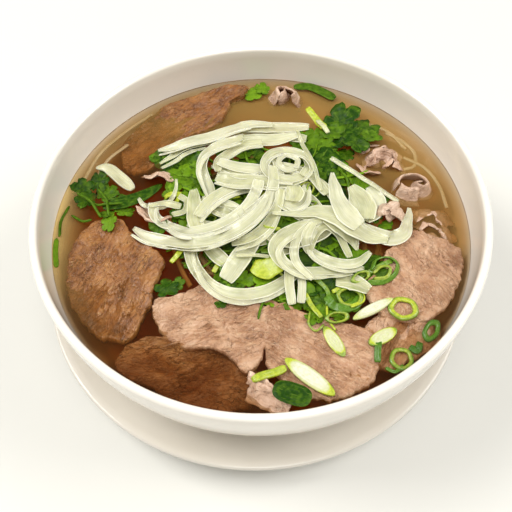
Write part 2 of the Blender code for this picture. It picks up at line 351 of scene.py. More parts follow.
class Paint:
    """A node material: add() makes a node, and link() joins sockets."""

    def __init__(self, name):
        self.material = bpy.data.materials.new(name)
        self.material.use_nodes = True
        self.tree = self.material.node_tree
        self.tree.nodes.clear()
        self.out = self.tree.nodes.new("ShaderNodeOutputMaterial")

    def add(self, kind, inputs=None, **settings):
        node = self.tree.nodes.new(kind)
        for key, value in settings.items():
            setattr(node, key, value)
        for key, value in (inputs or {}).items():
            if isinstance(value, bpy.types.NodeSocket):
                self.tree.links.new(value, node.inputs[key])
            else:
                node.inputs[key].default_value = value
        return node

    def attribute(self, name, output):
        return self.add("ShaderNodeAttribute", attribute_name=name).outputs[output]

    def place(self, size, source=None):
        """Coordinates scaled so that one unit is this many metres, or mm of grain."""
        if source is None:
            source = self.add("ShaderNodeTexCoord").outputs["Object"]
        scale = [1 / s for s in (size if isinstance(size, tuple) else (size,) * 3)]
        return self.add("ShaderNodeMapping", {"Vector": source, "Scale": scale}).outputs["Vector"]

    def noise(self, place, detail=4.0, rough=0.55, warp=0.0):
        inputs = {"Vector": place, "Scale": 1.0, "Detail": detail, "Roughness": rough, "Distortion": warp}
        return self.add("ShaderNodeTexNoise", inputs).outputs["Fac"]

    def ramp(self, share, stops):
        node = self.add("ShaderNodeValToRGB", {"Fac": share})
        points = node.color_ramp.elements
        while len(points) < len(stops):
            points.new(1.0)
        for point, (at, colour) in zip(points, stops):
            point.position = at
            point.color = (*colour, 1.0)
        return node.outputs["Color"]

    def span(self, share, low, high, from_low=0.0, from_high=1.0):
        """share stretched from one range to another."""
        inputs = {"Value": share, "From Min": from_low, "From Max": from_high, "To Min": low, "To Max": high}
        return self.add("ShaderNodeMapRange", inputs).outputs["Result"]

    def maths(self, operation, a, b=0.0):
        node = self.add("ShaderNodeMath", operation=operation)
        for socket, value in zip(node.inputs, (a, b)):
            if isinstance(value, bpy.types.NodeSocket):
                self.tree.links.new(value, socket)
            else:
                socket.default_value = value
        return node.outputs[0]

    def mix(self, share, a, b, blend="MIX"):
        node = self.add("ShaderNodeMix", data_type="RGBA", blend_type=blend)
        for socket, value in ((node.inputs[0], share), (node.inputs[6], a), (node.inputs[7], b)):
            if isinstance(value, bpy.types.NodeSocket):
                self.tree.links.new(value, socket)
            else:
                socket.default_value = value if isinstance(value, float) else (*value, 1.0)
        return node.outputs[2]

    def bump(self, height, strength, distance, under=None):
        inputs = {"Height": height, "Strength": strength, "Distance": distance}
        if under is not None:
            inputs["Normal"] = under
        return self.add("ShaderNodeBump", inputs).outputs["Normal"]

    def skin(self, inputs):
        return self.add("ShaderNodeBsdfPrincipled", inputs).outputs[0]

    def finish(self, shader, volume=None):
        self.tree.links.new(shader, self.out.inputs["Surface"])
        if volume is not None:
            self.tree.links.new(volume, self.out.inputs["Volume"])
        return self.material


def glazed_ceramic(name, warm, cool):
    """White glaze over clay, with a faint wave and tiny pits in it."""
    paint = Paint(name)
    cloud = paint.noise(paint.place(0.05), 3.0)
    speck = paint.noise(paint.place(0.0012), 2.0)
    base = paint.ramp(cloud, [(0.3, cool), (0.7, warm)])
    base = paint.mix(paint.span(speck, 0.0, 0.35, 0.72, 0.8), base, (0.5, 0.46, 0.4))
    rough = paint.span(cloud, 0.1, 0.18, 0.3, 0.7)
    wave = paint.bump(paint.noise(paint.place(0.012), 2.0), 0.08, 0.0006)
    return paint.finish(paint.skin(
        {"Base Color": base, "Roughness": rough, "Normal": wave, "Coat Weight": 0.4, "Coat Roughness": 0.06}
    ))


def beef_material(name, dark, middle, light, fat, coarse=1.0, deep=None):
    """Cooked beef: short fibres, creases and splits darkened as painted shade, and paler sinew between them.
    Less coarse is smoother. The deep colour, painted shade with the broth's tint, comes where a slice lies
    low in the broth."""
    paint = Paint(name)
    grain = paint.attribute("grain", "Vector")
    fibre = paint.noise(paint.place((0.75, 3.4, 2.0), grain), 4.0, 0.62, 0.5)
    bundle = paint.noise(paint.place((2.6, 8.0, 4.0), grain), 4.0, 0.6, 0.8)
    blotch = paint.noise(paint.place(11.0, grain), 4.0, 0.6)
    crumb = paint.noise(paint.place(0.65, grain), 4.0, 0.7)
    crease = paint.noise(paint.place((5.0, 11.0, 6.0), grain), 3.0, 0.6, 1.4)
    crease = paint.maths("ABSOLUTE", paint.maths("SUBTRACT", crease, 0.5))
    sinew = paint.noise(paint.place((7.0, 16.0, 6.0), grain), 2.0, 0.5, 2.0)
    sinew = paint.maths("ABSOLUTE", paint.maths("SUBTRACT", sinew, 0.47))
    warp = paint.add("ShaderNodeTexNoise", {"Vector": paint.place(4.0, grain), "Scale": 1.0, "Detail": 3.0})
    warp = paint.add("ShaderNodeVectorMath", {0: warp.outputs["Color"], 1: (4.5,) * 3}, operation="MULTIPLY")
    bent = paint.add("ShaderNodeVectorMath", {0: grain, 1: warp.outputs[0]}, operation="ADD").outputs[0]
    cells = paint.add(
        "ShaderNodeTexVoronoi",
        {"Vector": paint.place((2.2, 9.5, 6.0), bent), "Scale": 1.0},
        feature="DISTANCE_TO_EDGE",
    ).outputs["Distance"]
    patches = paint.span(paint.noise(paint.place(12.0, grain), 2.0), 0.0, 1.0, 0.47, 0.62)
    split = paint.maths("MULTIPLY", paint.span(cells, coarse, 0.0, 0.0, 0.06), patches)
    fine_share, bundle_share = 0.34 * coarse, 0.3 * coarse
    mixed = paint.maths("MULTIPLY", fibre, fine_share)
    mixed = paint.maths("ADD", mixed, paint.maths("MULTIPLY", bundle, bundle_share))
    mixed = paint.maths("ADD", mixed, paint.maths("MULTIPLY", blotch, 1 - fine_share - bundle_share))
    base = paint.ramp(mixed, [(0.38, dark), (0.5, middle), (0.61, light)])
    base = paint.mix(paint.span(crumb, 0.0, 0.5, 0.5, 0.75), base, light)
    # Creases and splits are painted darker: painted shade in them.
    base = paint.mix(paint.span(crease, 0.55 * coarse, 0.0, 0.0, 0.022), base, dark)
    base = paint.mix(paint.maths("MULTIPLY", split, 0.55), base, dark)
    base = paint.mix(paint.span(sinew, 0.5, 0.0, 0.0, 0.012), base, fat)
    base = paint.mix(paint.attribute("shade", "Fac"), base, fat)
    # The deep colour, darker where the slice lies lower, is painted shade with the broth's tint.
    if deep:
        height = paint.add("ShaderNodeSeparateXYZ", {"Vector": grain}).outputs["Z"]
        base = paint.mix(paint.span(height, 0.9, 0.0, -8.5, -2.5), base, deep)
    rough = paint.span(crumb, 0.24, 0.55, 0.35, 0.65)
    normal = paint.bump(fibre, 0.75 * coarse, 0.0006)
    normal = paint.bump(bundle, 0.5 * coarse, 0.001, normal)
    normal = paint.bump(paint.span(crease, 0.0, 1.0, 0.0, 0.05), 0.5, 0.0007, normal)
    normal = paint.bump(paint.maths("SUBTRACT", 1.0, split), 0.7, 0.0009, normal)
    normal = paint.bump(crumb, 0.4, 0.0004, normal)
    return paint.finish(paint.skin(
        {"Base Color": base, "Roughness": rough, "Normal": normal, "Coat Weight": 0.1, "Coat Roughness": 0.12}
    ))


def onion_material():
    """Raw onion: wet and half clear, with fine veins along each strip and a painted highlight on its edges.
    """
    paint = Paint("onion_flesh")
    grain = paint.attribute("grain", "Vector")
    shade = paint.attribute("shade", "Fac")
    side = paint.add("ShaderNodeSeparateXYZ", {"Vector": grain}).outputs["Z"]
    # The strip's edges are painted paler, a painted highlight, and are made less clear.
    edge = paint.span(paint.maths("ABSOLUTE", side), 0.0, 1.0, 0.82, 0.97)
    vein = paint.noise(paint.place((60.0, 0.5, 0.12), grain), 2.0, 0.5)
    cloud = paint.noise(paint.place((14.0, 6.0, 1.5), grain), 3.0)
    stops = [(0.34, (0.64, 0.64, 0.36)), (0.5, (0.76, 0.755, 0.46)), (0.66, (0.88, 0.87, 0.64))]
    base = paint.ramp(vein, stops)
    base = paint.mix(paint.span(cloud, 0.0, 0.35, 0.45, 0.7), base, (0.60, 0.62, 0.33))
    base = paint.mix(paint.maths("MULTIPLY", shade, 0.7), base, (0.80, 0.79, 0.66))
    base = paint.mix(paint.maths("MULTIPLY", edge, 0.6), base, (0.86, 0.85, 0.72))
    rough = paint.span(cloud, 0.1, 0.26, 0.3, 0.7)
    normal = paint.bump(vein, 0.4, 0.0003)
    normal = paint.bump(cloud, 0.25, 0.0008, normal)
    flesh = paint.add(
        "ShaderNodeBsdfPrincipled",
        {
            "Base Color": base,
            "Roughness": rough,
            "Normal": normal,
            "Subsurface Weight": 0.2,
            "Subsurface Radius": (1.0, 0.9, 0.5),
            "Subsurface Scale": 0.0012,
            "Coat Weight": 0.35,
            "Coat Roughness": 0.08,
        },
    )
    clear = paint.add("ShaderNodeBsdfTransparent", {"Color": (0.98, 0.98, 0.90, 1.0)})
    share = paint.span(cloud, 0.32, 0.6, 0.32, 0.68)
    share = paint.maths("MULTIPLY", share, paint.span(edge, 1.0, 0.1))
    share = paint.maths("MULTIPLY", share, paint.span(shade, 1.2, 0.5))
    mixed = paint.add("ShaderNodeMixShader", {"Fac": share, 1: flesh.outputs[0], 2: clear.outputs[0]})
    return paint.finish(mixed.outputs[0])


def leaf_material(name, dark, light, vein_colour, gloss=0.35):
    """A leaf or a green stem: shade runs from dark to light, with veins along the grain."""
    paint = Paint(name)
    grain = paint.attribute("grain", "Vector")
    shade = paint.attribute("shade", "Fac")
    cloud = paint.noise(paint.place(2.4, grain), 3.0)
    vein = paint.noise(paint.place((6.0, 0.6, 6.0), grain), 2.0, 0.6, 0.6)
    tone = paint.maths("ADD", shade, paint.span(cloud, -0.22, 0.22, 0.3, 0.7))
    base = paint.mix(paint.maths("MINIMUM", paint.maths("MAXIMUM", tone, 0.0), 1.0), dark, light)
    base = paint.mix(paint.span(vein, 0.0, 0.4, 0.58, 0.72), base, vein_colour)
    normal = paint.bump(vein, 0.5, 0.0004)
    normal = paint.bump(cloud, 0.4, 0.0006, normal)
    return paint.finish(paint.skin(
        {
            "Base Color": base,
            "Roughness": paint.span(cloud, gloss - 0.1, gloss + 0.15, 0.3, 0.7),
            "Specular IOR Level": 0.13,
            "Normal": normal,
            "Subsurface Weight": 0.12,
            "Subsurface Radius": (0.4, 1.0, 0.2),
            "Subsurface Scale": 0.001,
        }
    ))


def scallion_material():
    """Cut scallion: shade 0 is the dark green outside and 1 the white inside."""
    paint = Paint("scallion_cut")
    grain = paint.attribute("grain", "Vector")
    cloud = paint.noise(paint.place(1.8, grain), 3.0)
    rib = paint.noise(paint.place((14.0, 0.5, 4.0), grain), 2.0)
    tone = paint.maths("ADD", paint.attribute("shade", "Fac"), paint.span(cloud, -0.06, 0.06, 0.3, 0.7))
    stops = [
        (0.0, (0.03, 0.1, 0.006)),
        (0.25, (0.1, 0.22, 0.012)),
        (0.4, (0.25, 0.33, 0.035)),
        (0.52, (0.46, 0.53, 0.03)),
        (0.72, (0.55, 0.57, 0.28)),
        (0.88, (0.60, 0.61, 0.40)),
        (1.0, (0.70, 0.70, 0.54)),
    ]
    base = paint.ramp(tone, stops)
    normal = paint.bump(rib, 0.5, 0.0003)
    return paint.finish(paint.skin(
        {
            "Base Color": base,
            "Roughness": paint.span(cloud, 0.18, 0.36, 0.3, 0.7),
            "Normal": normal,
            "Subsurface Weight": 0.15,
            "Subsurface Radius": (0.6, 1.0, 0.3),
            "Subsurface Scale": 0.001,
        }
    ))


def noodle_material():
    paint = Paint("rice_noodle")
    grain = paint.attribute("grain", "Vector")
    cloud = paint.noise(paint.place((12.0, 3.0, 3.0), grain), 3.0)
    base = paint.ramp(cloud, [(0.35, (0.66, 0.58, 0.4)), (0.65, (0.8, 0.76, 0.62))])
    normal = paint.bump(paint.noise(paint.place((9.0, 0.9, 2.0), grain), 2.0), 0.3, 0.0004)
    return paint.finish(paint.skin(
        {"Base Color": base, "Roughness": paint.span(cloud, 0.22, 0.4, 0.3, 0.7), "Normal": normal}
    ))


def broth_material():
    """Clear amber broth, which darkens with depth, under a thin shine."""
    paint = Paint("broth_liquid")
    ripple = paint.noise(paint.place(0.016), 2.0)
    fine = paint.noise(paint.place(0.004), 2.0)
    cloud = paint.noise(paint.place(0.03), 3.0)
    normal = paint.bump(ripple, 0.12, 0.0012)
    normal = paint.bump(fine, 0.1, 0.0003, normal)
    clear = paint.add("ShaderNodeBsdfTransparent", {"Color": (0.97, 0.93, 0.84, 1.0)})
    wall_r = 0.104
    middle = [-AXIS[i] * MM / wall_r for i in range(3)]
    spot = paint.add("ShaderNodeTexCoord").outputs["Object"]
    spot = paint.add("ShaderNodeMapping", {"Vector": spot, "Location": middle, "Scale": (1 / wall_r,) * 3})
    inward = paint.add("ShaderNodeTexGradient", {"Vector": spot.outputs["Vector"]}, gradient_type="SPHERICAL")
    across = paint.add("ShaderNodeSeparateXYZ", {"Vector": spot.outputs["Vector"]})
    # Near the wall the murk is thicker and painted golden, as painted light where the wall under the broth
    # lies in the rim's shade; towards the back right it is painted golden too.
    painted_glow_near_wall = paint.span(inward.outputs["Fac"], 1.0, 0.0, 0.0, 0.16)
    painted_glow_near_wall = paint.maths("MULTIPLY", painted_glow_near_wall, paint.span(across.outputs["Y"], 0.0, 1.0, -0.72, -0.1))
    aside = paint.maths("ADD", across.outputs["Y"], paint.maths("MULTIPLY", across.outputs["X"], 0.5))
    painted_glow_near_wall = paint.maths("MAXIMUM", painted_glow_near_wall, paint.span(aside, 0.0, 0.75, -0.1, 0.75))
    deep = paint.ramp(cloud, [(0.35, (0.17, 0.07, 0.012)), (0.65, (0.25, 0.115, 0.022))])
    # At the left the golden is brighter: painted light where that side lies in shade.
    painted_glow_left = paint.span(across.outputs["X"], 0.8, 0.0, -1.0, -0.72)
    painted_glow_colour = paint.mix(painted_glow_left, (0.55, 0.36, 0.105), (1.0, 0.72, 0.27))
    murk = paint.add(
        "ShaderNodeBsdfPrincipled",
        {
            "Base Color": paint.mix(painted_glow_near_wall, deep, painted_glow_colour),
            "Roughness": paint.span(fine, 0.3, 0.5, 0.3, 0.7),
            "Specular IOR Level": 0.0,
            "Normal": normal,
        },
    )
    shine = paint.add(
        "ShaderNodeBsdfGlossy", {"Color": (0.95, 0.74, 0.5, 1.0), "Roughness": 0.03, "Normal": normal}
    )
    edge = paint.span(inward.outputs["Fac"], 0.1, 1.0, 0.0, 0.07)
    murk_and_painted_glow = paint.maths("MULTIPLY", paint.span(painted_glow_near_wall, 0.06, 0.5), edge)
    # More murk at the far left: painted light there as well.
    murk_and_painted_glow = paint.maths("MAXIMUM", murk_and_painted_glow, paint.span(across.outputs["X"], 0.6, 0.0, -0.98, -0.86))
    body = paint.add("ShaderNodeMixShader", {"Fac": murk_and_painted_glow, 1: clear.outputs[0], 2: murk.outputs[0]})
    rim = paint.add("ShaderNodeFresnel", {"IOR": 1.33, "Normal": normal})
    top = paint.add("ShaderNodeMixShader", {"Fac": rim.outputs[0], 1: body.outputs[0], 2: shine.outputs[0]})
    depth = paint.add("ShaderNodeVolumeAbsorption", {"Color": (0.89, 0.57, 0.10, 1.0), "Density": 80.0})
    return paint.finish(top.outputs[0], depth.outputs[0])


CERAMIC_BOWL = glazed_ceramic("ceramic_bowl", (0.87, 0.825, 0.745), (0.85, 0.80, 0.715))
# The underplate has the bowl's glaze painted darker: painted shade for the shadow it lies in under the bowl.
CERAMIC_PLATE_SHADED = glazed_ceramic("ceramic_plate_shaded", (0.69, 0.65, 0.58), (0.66, 0.615, 0.54))
BEEF = beef_material(
    "beef_sliced", (0.26, 0.115, 0.05), (0.44, 0.235, 0.125), (0.56, 0.345, 0.21), (0.66, 0.50, 0.32), 0.55
)
BEEF_BROWN = beef_material(
    "beef_browned", (0.12, 0.036, 0.005), (0.27, 0.10, 0.02), (0.38, 0.17, 0.046), (0.46, 0.28, 0.10), 0.8
)
# A darker copy of the beef for the slice that lies low in front: painted shade of the bowl's front wall.
BEEF_SUNK_SHADED = beef_material(
    "beef_sunk_shaded", (0.12, 0.038, 0.009), (0.30, 0.13, 0.045), (0.46, 0.25, 0.11), (0.52, 0.34, 0.16), 1.0,
    (0.10, 0.024, 0.004),
)
BEEF_RARE = beef_material(
    "beef_curled", (0.33, 0.18, 0.11), (0.55, 0.35, 0.24), (0.70, 0.50, 0.37), (0.80, 0.66, 0.50), 0.5
)
ONION = onion_material()
CILANTRO = leaf_material(
    "cilantro_leaf", (0.012, 0.048, 0.001), (0.16, 0.30, 0.008), (0.20, 0.32, 0.03), 0.4
)
HERB_CORE = leaf_material("herb_core", (0.012, 0.036, 0.003), (0.06, 0.12, 0.01), (0.08, 0.14, 0.02), 0.55)
SCALLION = scallion_material()
NOODLE = noodle_material()
BROTH = broth_material()


# ---------------------------------------------------------------- ceramics and broth


def make_underplate():
    rise = PLATE_RIM_Z - PLATE_WELL_Z
    lip = 1.4
    profile = [(0.0, PLATE_WELL_Z), (PLATE_WELL_R * 0.6, PLATE_WELL_Z)]
    for s in np.linspace(0, 1, 16):
        radius = PLATE_WELL_R + (PLATE_R - lip - PLATE_WELL_R) * s
        profile.append((radius, PLATE_WELL_Z + rise * s**PLATE_FLARE))
    for a in (60, 25, -10, -50, -90):
        turn = math.radians(a)
        at = (PLATE_R - lip + lip * math.cos(turn), PLATE_RIM_Z - lip + lip * math.sin(turn))
        profile.append(at)
    for s in np.linspace(0.93, 0.1, 12):
        radius = PLATE_FOOT_R + 2 + (PLATE_R - 4 - PLATE_FOOT_R) * s
        profile.append((radius, PLATE_WELL_Z - PLATE_THICK + rise * s**PLATE_FLARE))
    inside_foot = PLATE_FOOT_R - PLATE_FOOT_WIDTH
    profile += [(PLATE_FOOT_R + 1.2, PLATE_FOOT_H), (PLATE_FOOT_R + 0.4, 0.6), (PLATE_FOOT_R, 0.0)]
    profile += [(inside_foot, 0.0), (inside_foot - 0.5, 0.6), (inside_foot - 1, PLATE_FOOT_H)]
    profile.append((0.0, PLATE_FOOT_H))
    return turned("plate", profile, (0, 0), CERAMIC_PLATE_SHADED, "underplate")


def make_bowl():
    profile = [wall_curve(INNER_R, INNER_DEPTH, a) for a in np.linspace(math.pi / 2, 0.07, 40)]
    lip_x = (OUTER_R + INNER_R) / 2
    for a in range(168, 0, -18):
        side, up = math.cos(math.radians(a)), math.sin(math.radians(a))
        profile.append((lip_x + LIP_R * side, RIM_Z - LIP_R + LIP_R * up))
    profile += [wall_curve(OUTER_R, OUTER_DEPTH, a) for a in np.linspace(0.1, 1.38, 30)]
    inside_foot = FOOT_R - FOOT_WIDTH
    profile += [(FOOT_R + 0.3, BOWL_Z + FOOT_H), (FOOT_R, BOWL_Z + 1.0), (FOOT_R - 1.0, BOWL_Z)]
    profile += [(inside_foot + 0.5, BOWL_Z), (inside_foot, BOWL_Z + 0.5)]
    profile += [(inside_foot - 0.5, BOWL_Z + FOOT_H), (0.0, BOWL_Z + FOOT_H)]
    return turned("soup_bowl", profile, AXIS[:2], CERAMIC_BOWL, "bowl")


def make_broth():
    """The liquid up to its level, with a raised edge where it wets the wall."""
    level_z = RIM_Z - LEVEL_BELOW_RIM
    edge_r = 103.9
    climb, climb_reach = 1.3, 2.2
    profile = [(0.0, level_z)]
    for radius in np.linspace(4, edge_r - 4 * climb_reach, 30):
        profile.append((radius, level_z))
    for radius in np.linspace(edge_r - 3.6 * climb_reach, edge_r, 12):
        profile.append((radius, level_z + climb * math.exp((radius - edge_r) / climb_reach)))
    start = math.asin((LEVEL_BELOW_RIM / INNER_DEPTH) ** (1 / WALL_DROP))
    for a in np.linspace(start + 0.02, math.pi / 2, 24):
        radius, height = wall_curve(INNER_R + 0.5, INNER_DEPTH + 0.5, a)
        profile.append((radius, height))
    profile[-1] = (0.0, profile[-1][1])
    piece = turned("broth_pool", profile, AXIS[:2], BROTH, "broth")
    return piece


# ---------------------------------------------------------------- beef


class Slice:
    """A slice of beef: an outline, how high it lies and how it leans, and the way of its fibres."""

    THICK = 4.2
    SPACING = 0.85

    def __init__(self, outline, height, lean=(0.0, 0.0), fibre=0.0, seed=0, thick=THICK, wave=1.0, fold=()):
        self.outline = outline
        self.height = height
        self.lean = lean
        self.fibre = math.radians(fibre)
        self.seed = seed
        self.thick = thick
        self.wave = wave
        self.fold = fold

    def edge(self):
        """The outline as a ragged closed curve, and its middle."""
        line = curve_through(self.outline, self.SPACING, closed=True)
        middle = line.mean(0)
        flat = np.column_stack([line, np.full(len(line), float(self.seed))])
        ragged = 1.6 * noise_at(flat, 6.0, self.seed) + 0.9 * noise_at(flat, 1.8, self.seed + 3)
        out = line - middle
        reach = np.linalg.norm(out, axis=1)[:, None]
        return middle + out * (1 + ragged[:, None] / reach), middle

    def top(self, xy, middle):
        """Height of the upper surface, with its waves, folds and fibres."""
        rel = xy - middle
        z = self.height + rel[:, 0] * self.lean[0] + rel[:, 1] * self.lean[1]
        flat = np.column_stack([xy, np.zeros(len(xy))])
        waves = 1.5 * noise_at(flat, 22.0, self.seed + 11) + 0.7 * noise_at(flat, 8.0, self.seed + 12)
        z += self.wave * waves
        along, over = self.turned_to_fibre(rel)
        lines = np.column_stack([over / 1.3, along / 9.0, np.zeros(len(xy))])
        z += 0.42 * noise_at(lines, 1.0, self.seed + 13)
        bundles = np.column_stack([over / 4.5, along / 14.0, np.zeros(len(xy))])
        z += 0.75 * noise_at(bundles, 1.0, self.seed + 14)
        cracks = np.column_stack([over / 3.4, along / 7.0, np.zeros(len(xy))])
        z -= 0.9 * (1 - smooth_step(0.0, 0.09, np.abs(noise_at(cracks, 1.0, self.seed + 15))))
        for x, y, turn, deep, wide, long in self.fold:
            a = math.radians(turn)
            off = (xy[:, 0] - x) * -math.sin(a) + (xy[:, 1] - y) * math.cos(a)
            off = off + 1.6 * noise_at(flat, 7.0, self.seed + 16)
            down = (xy[:, 0] - x) * math.cos(a) + (xy[:, 1] - y) * math.sin(a)
            z -= deep * np.exp(-((off / wide) ** 2) - (down / long) ** 2)
        return z

    def turned_to_fibre(self, rel):
        c, s = math.cos(self.fibre), math.sin(self.fibre)
        return rel[:, 0] * c + rel[:, 1] * s, -rel[:, 0] * s + rel[:, 1] * c

    def add_to(self, gathered):
        line, middle = self.edge()
        around = len(line)
        rings = max(8, int(np.linalg.norm(line - middle, axis=1).mean() / self.SPACING))
        shares = np.concatenate([np.arange(1, rings) / rings, [0.985, 1.0]])
        flat = np.vstack([middle + (line - middle) * s for s in shares])
        drop = np.repeat(np.concatenate([np.zeros(rings - 1), [0.35, self.thick * 0.45]]), around)
        upper = np.column_stack([flat, self.top(flat, middle) - drop])
        below_shares = np.array([0.985, 0.7, 0.35])
        flat_low = np.vstack([middle + (line - middle) * s for s in below_shares])
        lower = np.column_stack([flat_low, self.top(flat_low, middle) - self.thick])
        hub_top = np.array([[*middle, self.top(middle[None], middle)[0]]])
        hub_low = hub_top - (0, 0, self.thick)
        points = np.vstack([upper, lower, hub_top, hub_low])
        # These faces look inwards, as the outlines run clockwise. The beef's bumps are set for that.
        faces = turned_over(tube_faces(len(shares) + len(below_shares), around))
        along, over = self.turned_to_fibre(points[:, :2] - middle)
        grain = np.column_stack([over + self.seed * 31, along + self.seed * 13, points[:, 2]])
        fat = np.zeros(len(points))
        rim = slice((rings - 1) * around, (rings + 2) * around)
        fat[rim] = 0.35 * np.clip(noise_at(points[rim], 9.0, self.seed + 20) * 2, 0, 1)
        gathered.add(points, faces, fat, grain)
        ground.raise_to(upper[:, 0], upper[:, 1], upper[:, 2])


BEEF_SLICES = {
    "beef_slice_front_sunk": Slice(
        [(-68, -71), (-60, -62), (-46, -60), (-30, -62), (-14, -66), (-4, -74), (-1, -84), (-6, -93),
         (-20, -95), (-38, -90), (-52, -82), (-62, -78)],
        -4.1, (0.02, 0.24), 8, 1, wave=1.3,
        fold=((-30, -80, 25, 3, 4, 30), (-45, -74, -30, 2.5, 3, 20), (-25, -70, 5, 1.5, 1.2, 20),
              (-36, -64, 6, -1.6, 1.0, 16), (-22, -67, -8, -1.5, 0.9, 13), (-46, -66, 20, -1.4, 0.9, 9))),
    "beef_slice_right_sunk": Slice(
        [(49, -56), (62, -50), (76, -54), (81, -62), (76, -70), (66, -75), (56, -79), (49, -76), (46, -66)],
        -0.2, (0.02, 0.05), 70, 2, wave=1.2, fold=((60, -62, 60, 2, 2.5, 30),)),
    "beef_slice_back_left": Slice(
        [(-46, 89), (-30, 94), (-13, 97), (-6, 95), (-8, 89), (-15, 86), (-17, 79), (-20, 71), (-30, 65),
         (-42, 59), (-50, 50), (-57, 42), (-66, 39), (-73, 43), (-76, 53), (-73, 64), (-67, 73), (-58, 82)],
        0.5, (0.065, 0.05), 35, 3, wave=1.2,
        fold=((-58, 58, 60, 1.6, 2.2, 14), (-40, 74, 30, 1.2, 1.2, 14), (-28, 84, 15, 1.2, 1.0, 12),
              (-18, 88, 70, 1.4, 1.0, 8), (-24, 76, 50, 1.3, 0.9, 9), (-34, 66, 40, 1.2, 0.9, 10))),
    "beef_slice_left": Slice(
        [(-90, -2), (-80, 6), (-69, 3), (-62, -8), (-53, -14), (-46, -22), (-50, -32), (-52, -42),
         (-55, -51), (-59, -60), (-68, -63), (-77, -59), (-86, -50), (-92, -39), (-95, -26), (-94, -12)],
        1.3, (0.085, 0.045), 62, 4, wave=0.8, thick=4.6,
        fold=((-57, -30, 75, 1.3, 1.0, 14), (-62, -24, 68, 1.1, 0.9, 12), (-66, -38, 80, 1.2, 0.9, 14),
              (-60, -46, 70, 1.2, 1.0, 9), (-76, -34, 60, 0.8, 0.8, 12), (-71, -12, 50, 0.8, 0.9, 9))),
    "beef_slice_front_left": Slice(
        [(-52, -43), (-42, -41), (-33, -37), (-26, -36), (-19, -41), (-11, -44), (-2, -45), (8, -46),
         (15, -50), (15, -58), (5, -62), (1, -69), (-3, -78), (-9, -79), (-16, -72), (-24, -68),
         (-34, -67), (-43, -63), (-50, -54)],
        2.6, (0.05, 0.085), 18, 5, wave=1.1,
        fold=((-32, -50, 35, 1.6, 1.8, 12), (-22, -59, -4, 1.6, 1.0, 14), (-14, -64, -8, 1.6, 0.9, 12),
              (-30, -62, 6, 1.4, 0.9, 10), (-8, -70, -14, 1.3, 0.9, 8), (3, -52, 80, 1.2, 0.8, 9))),
    "beef_slice_front_right": Slice(
        [(3, -52), (14, -50), (26, -54), (38, -57), (48, -61), (53, -69), (51, -79), (47, -86),
         (40, -90), (30, -93), (20, -92), (11, -86), (3, -80), (0, -70), (0, -60)],
        2.6, (-0.01, 0.06), -30, 6, wave=1.0,
        fold=((32, -80, -12, 1.2, 0.9, 13), (46, -82, 70, 1.2, 0.8, 6), (14, -60, 60, 0.9, 0.9, 8))),
    "beef_slice_right": Slice(
        [(73, -8), (84, -10), (92, -14), (97, -21), (97, -30), (93, -38), (89, -45), (83, -52),
         (75, -56), (65, -57), (56, -54), (50, -48), (50, -36), (57, -26), (62, -18), (67, -12)],
        3.2, (-0.045, 0.035), -55, 7, wave=1.1,
        fold=((84, -20, 60, 1.4, 2.0, 12), (76, -50, 40, 1.5, 1.0, 9), (70, -48, -50, 1.3, 1.0, 8),
              (90, -28, -60, 1.2, 0.9, 8))),
}


SLICE_PAINTS = {
    "beef_slice_front_sunk": BEEF_SUNK_SHADED,
    "beef_slice_left": BEEF_BROWN,
    "beef_slice_back_left": BEEF_BROWN,
}


def make_slices():
    for node, cut in BEEF_SLICES.items():
        gathered = Gathered()
        cut.add_to(gathered)
        gathered.make(node.replace("beef_", "sliced_"), SLICE_PAINTS.get(node, BEEF), [node])


def curled(gathered, path, width, heights, thick, seed, crumple=1.0, pale=0.0):
    """A thin curled sheet of beef: a path of (x, y), the way it stands, and its ragged edges."""
    line = curve_through(path, 0.8)
    n, rows = len(line), max(6, int(width / 0.8))
    ahead = np.gradient(line, axis=0)
    ahead /= np.linalg.norm(ahead, axis=1)[:, None]
    side = np.column_stack([-ahead[:, 1], ahead[:, 0]])
    low, high, lean = heights
    sheet = []
    for j in range(rows + 1):
        s = j / rows
        z = low + (high - low) * s
        spread = (s - 0.5) * width * lean
        sheet.append(np.column_stack([line + side * spread, np.full(n, z)]))
    sheet = np.stack(sheet, 1).reshape(-1, 3)
    wobble = np.column_stack([noise_at(sheet, 5.0, seed + k) for k in (1, 2, 3)])
    fine = np.column_stack([noise_at(sheet, 1.8, seed + k) for k in (4, 5, 6)])
    sheet = sheet + crumple * (1.6 * wobble + 0.5 * fine)
    normal = np.cross(np.repeat(np.column_stack([ahead, np.zeros(n)]), rows + 1, 0), (0, 0, 1.0))
    edge = np.ones((n, rows + 1))
    edge[0] = edge[-1] = 0.3
    edge[:, 0] = edge[:, -1] = 0.3
    half = normal * thick / 2 * edge.reshape(-1)[:, None]
    front, back = sheet + half, sheet - half
    points = np.vstack([front, back])
    faces, across, m = [], rows + 1, n * (rows + 1)
    for i in range(n - 1):
        for j in range(rows):
            a, b = i * across + j, (i + 1) * across + j
            faces += [[a, b, b + 1, a + 1], [m + a, m + a + 1, m + b + 1, m + b]]
    border = [(i * across, (i + 1) * across) for i in range(n - 1)]
    border += [((n - 1) * across + j, (n - 1) * across + j + 1) for j in range(rows)]
    border += [((i + 1) * across + rows, i * across + rows) for i in range(n - 2, -1, -1)]
    border += [(j + 1, j) for j in range(rows - 1, -1, -1)]
    faces += [[b, a, m + a, m + b] for a, b in border]
    along = np.repeat(np.arange(n) * 0.8, across)
    over = np.tile(np.arange(across) * 0.8, n)
    grain = np.column_stack([over + seed * 9, along, np.zeros(n * across)])
    gathered.add(points, faces, pale, np.vstack([grain, grain]))
    ground.raise_to(points[:, 0], points[:, 1], points[:, 2])


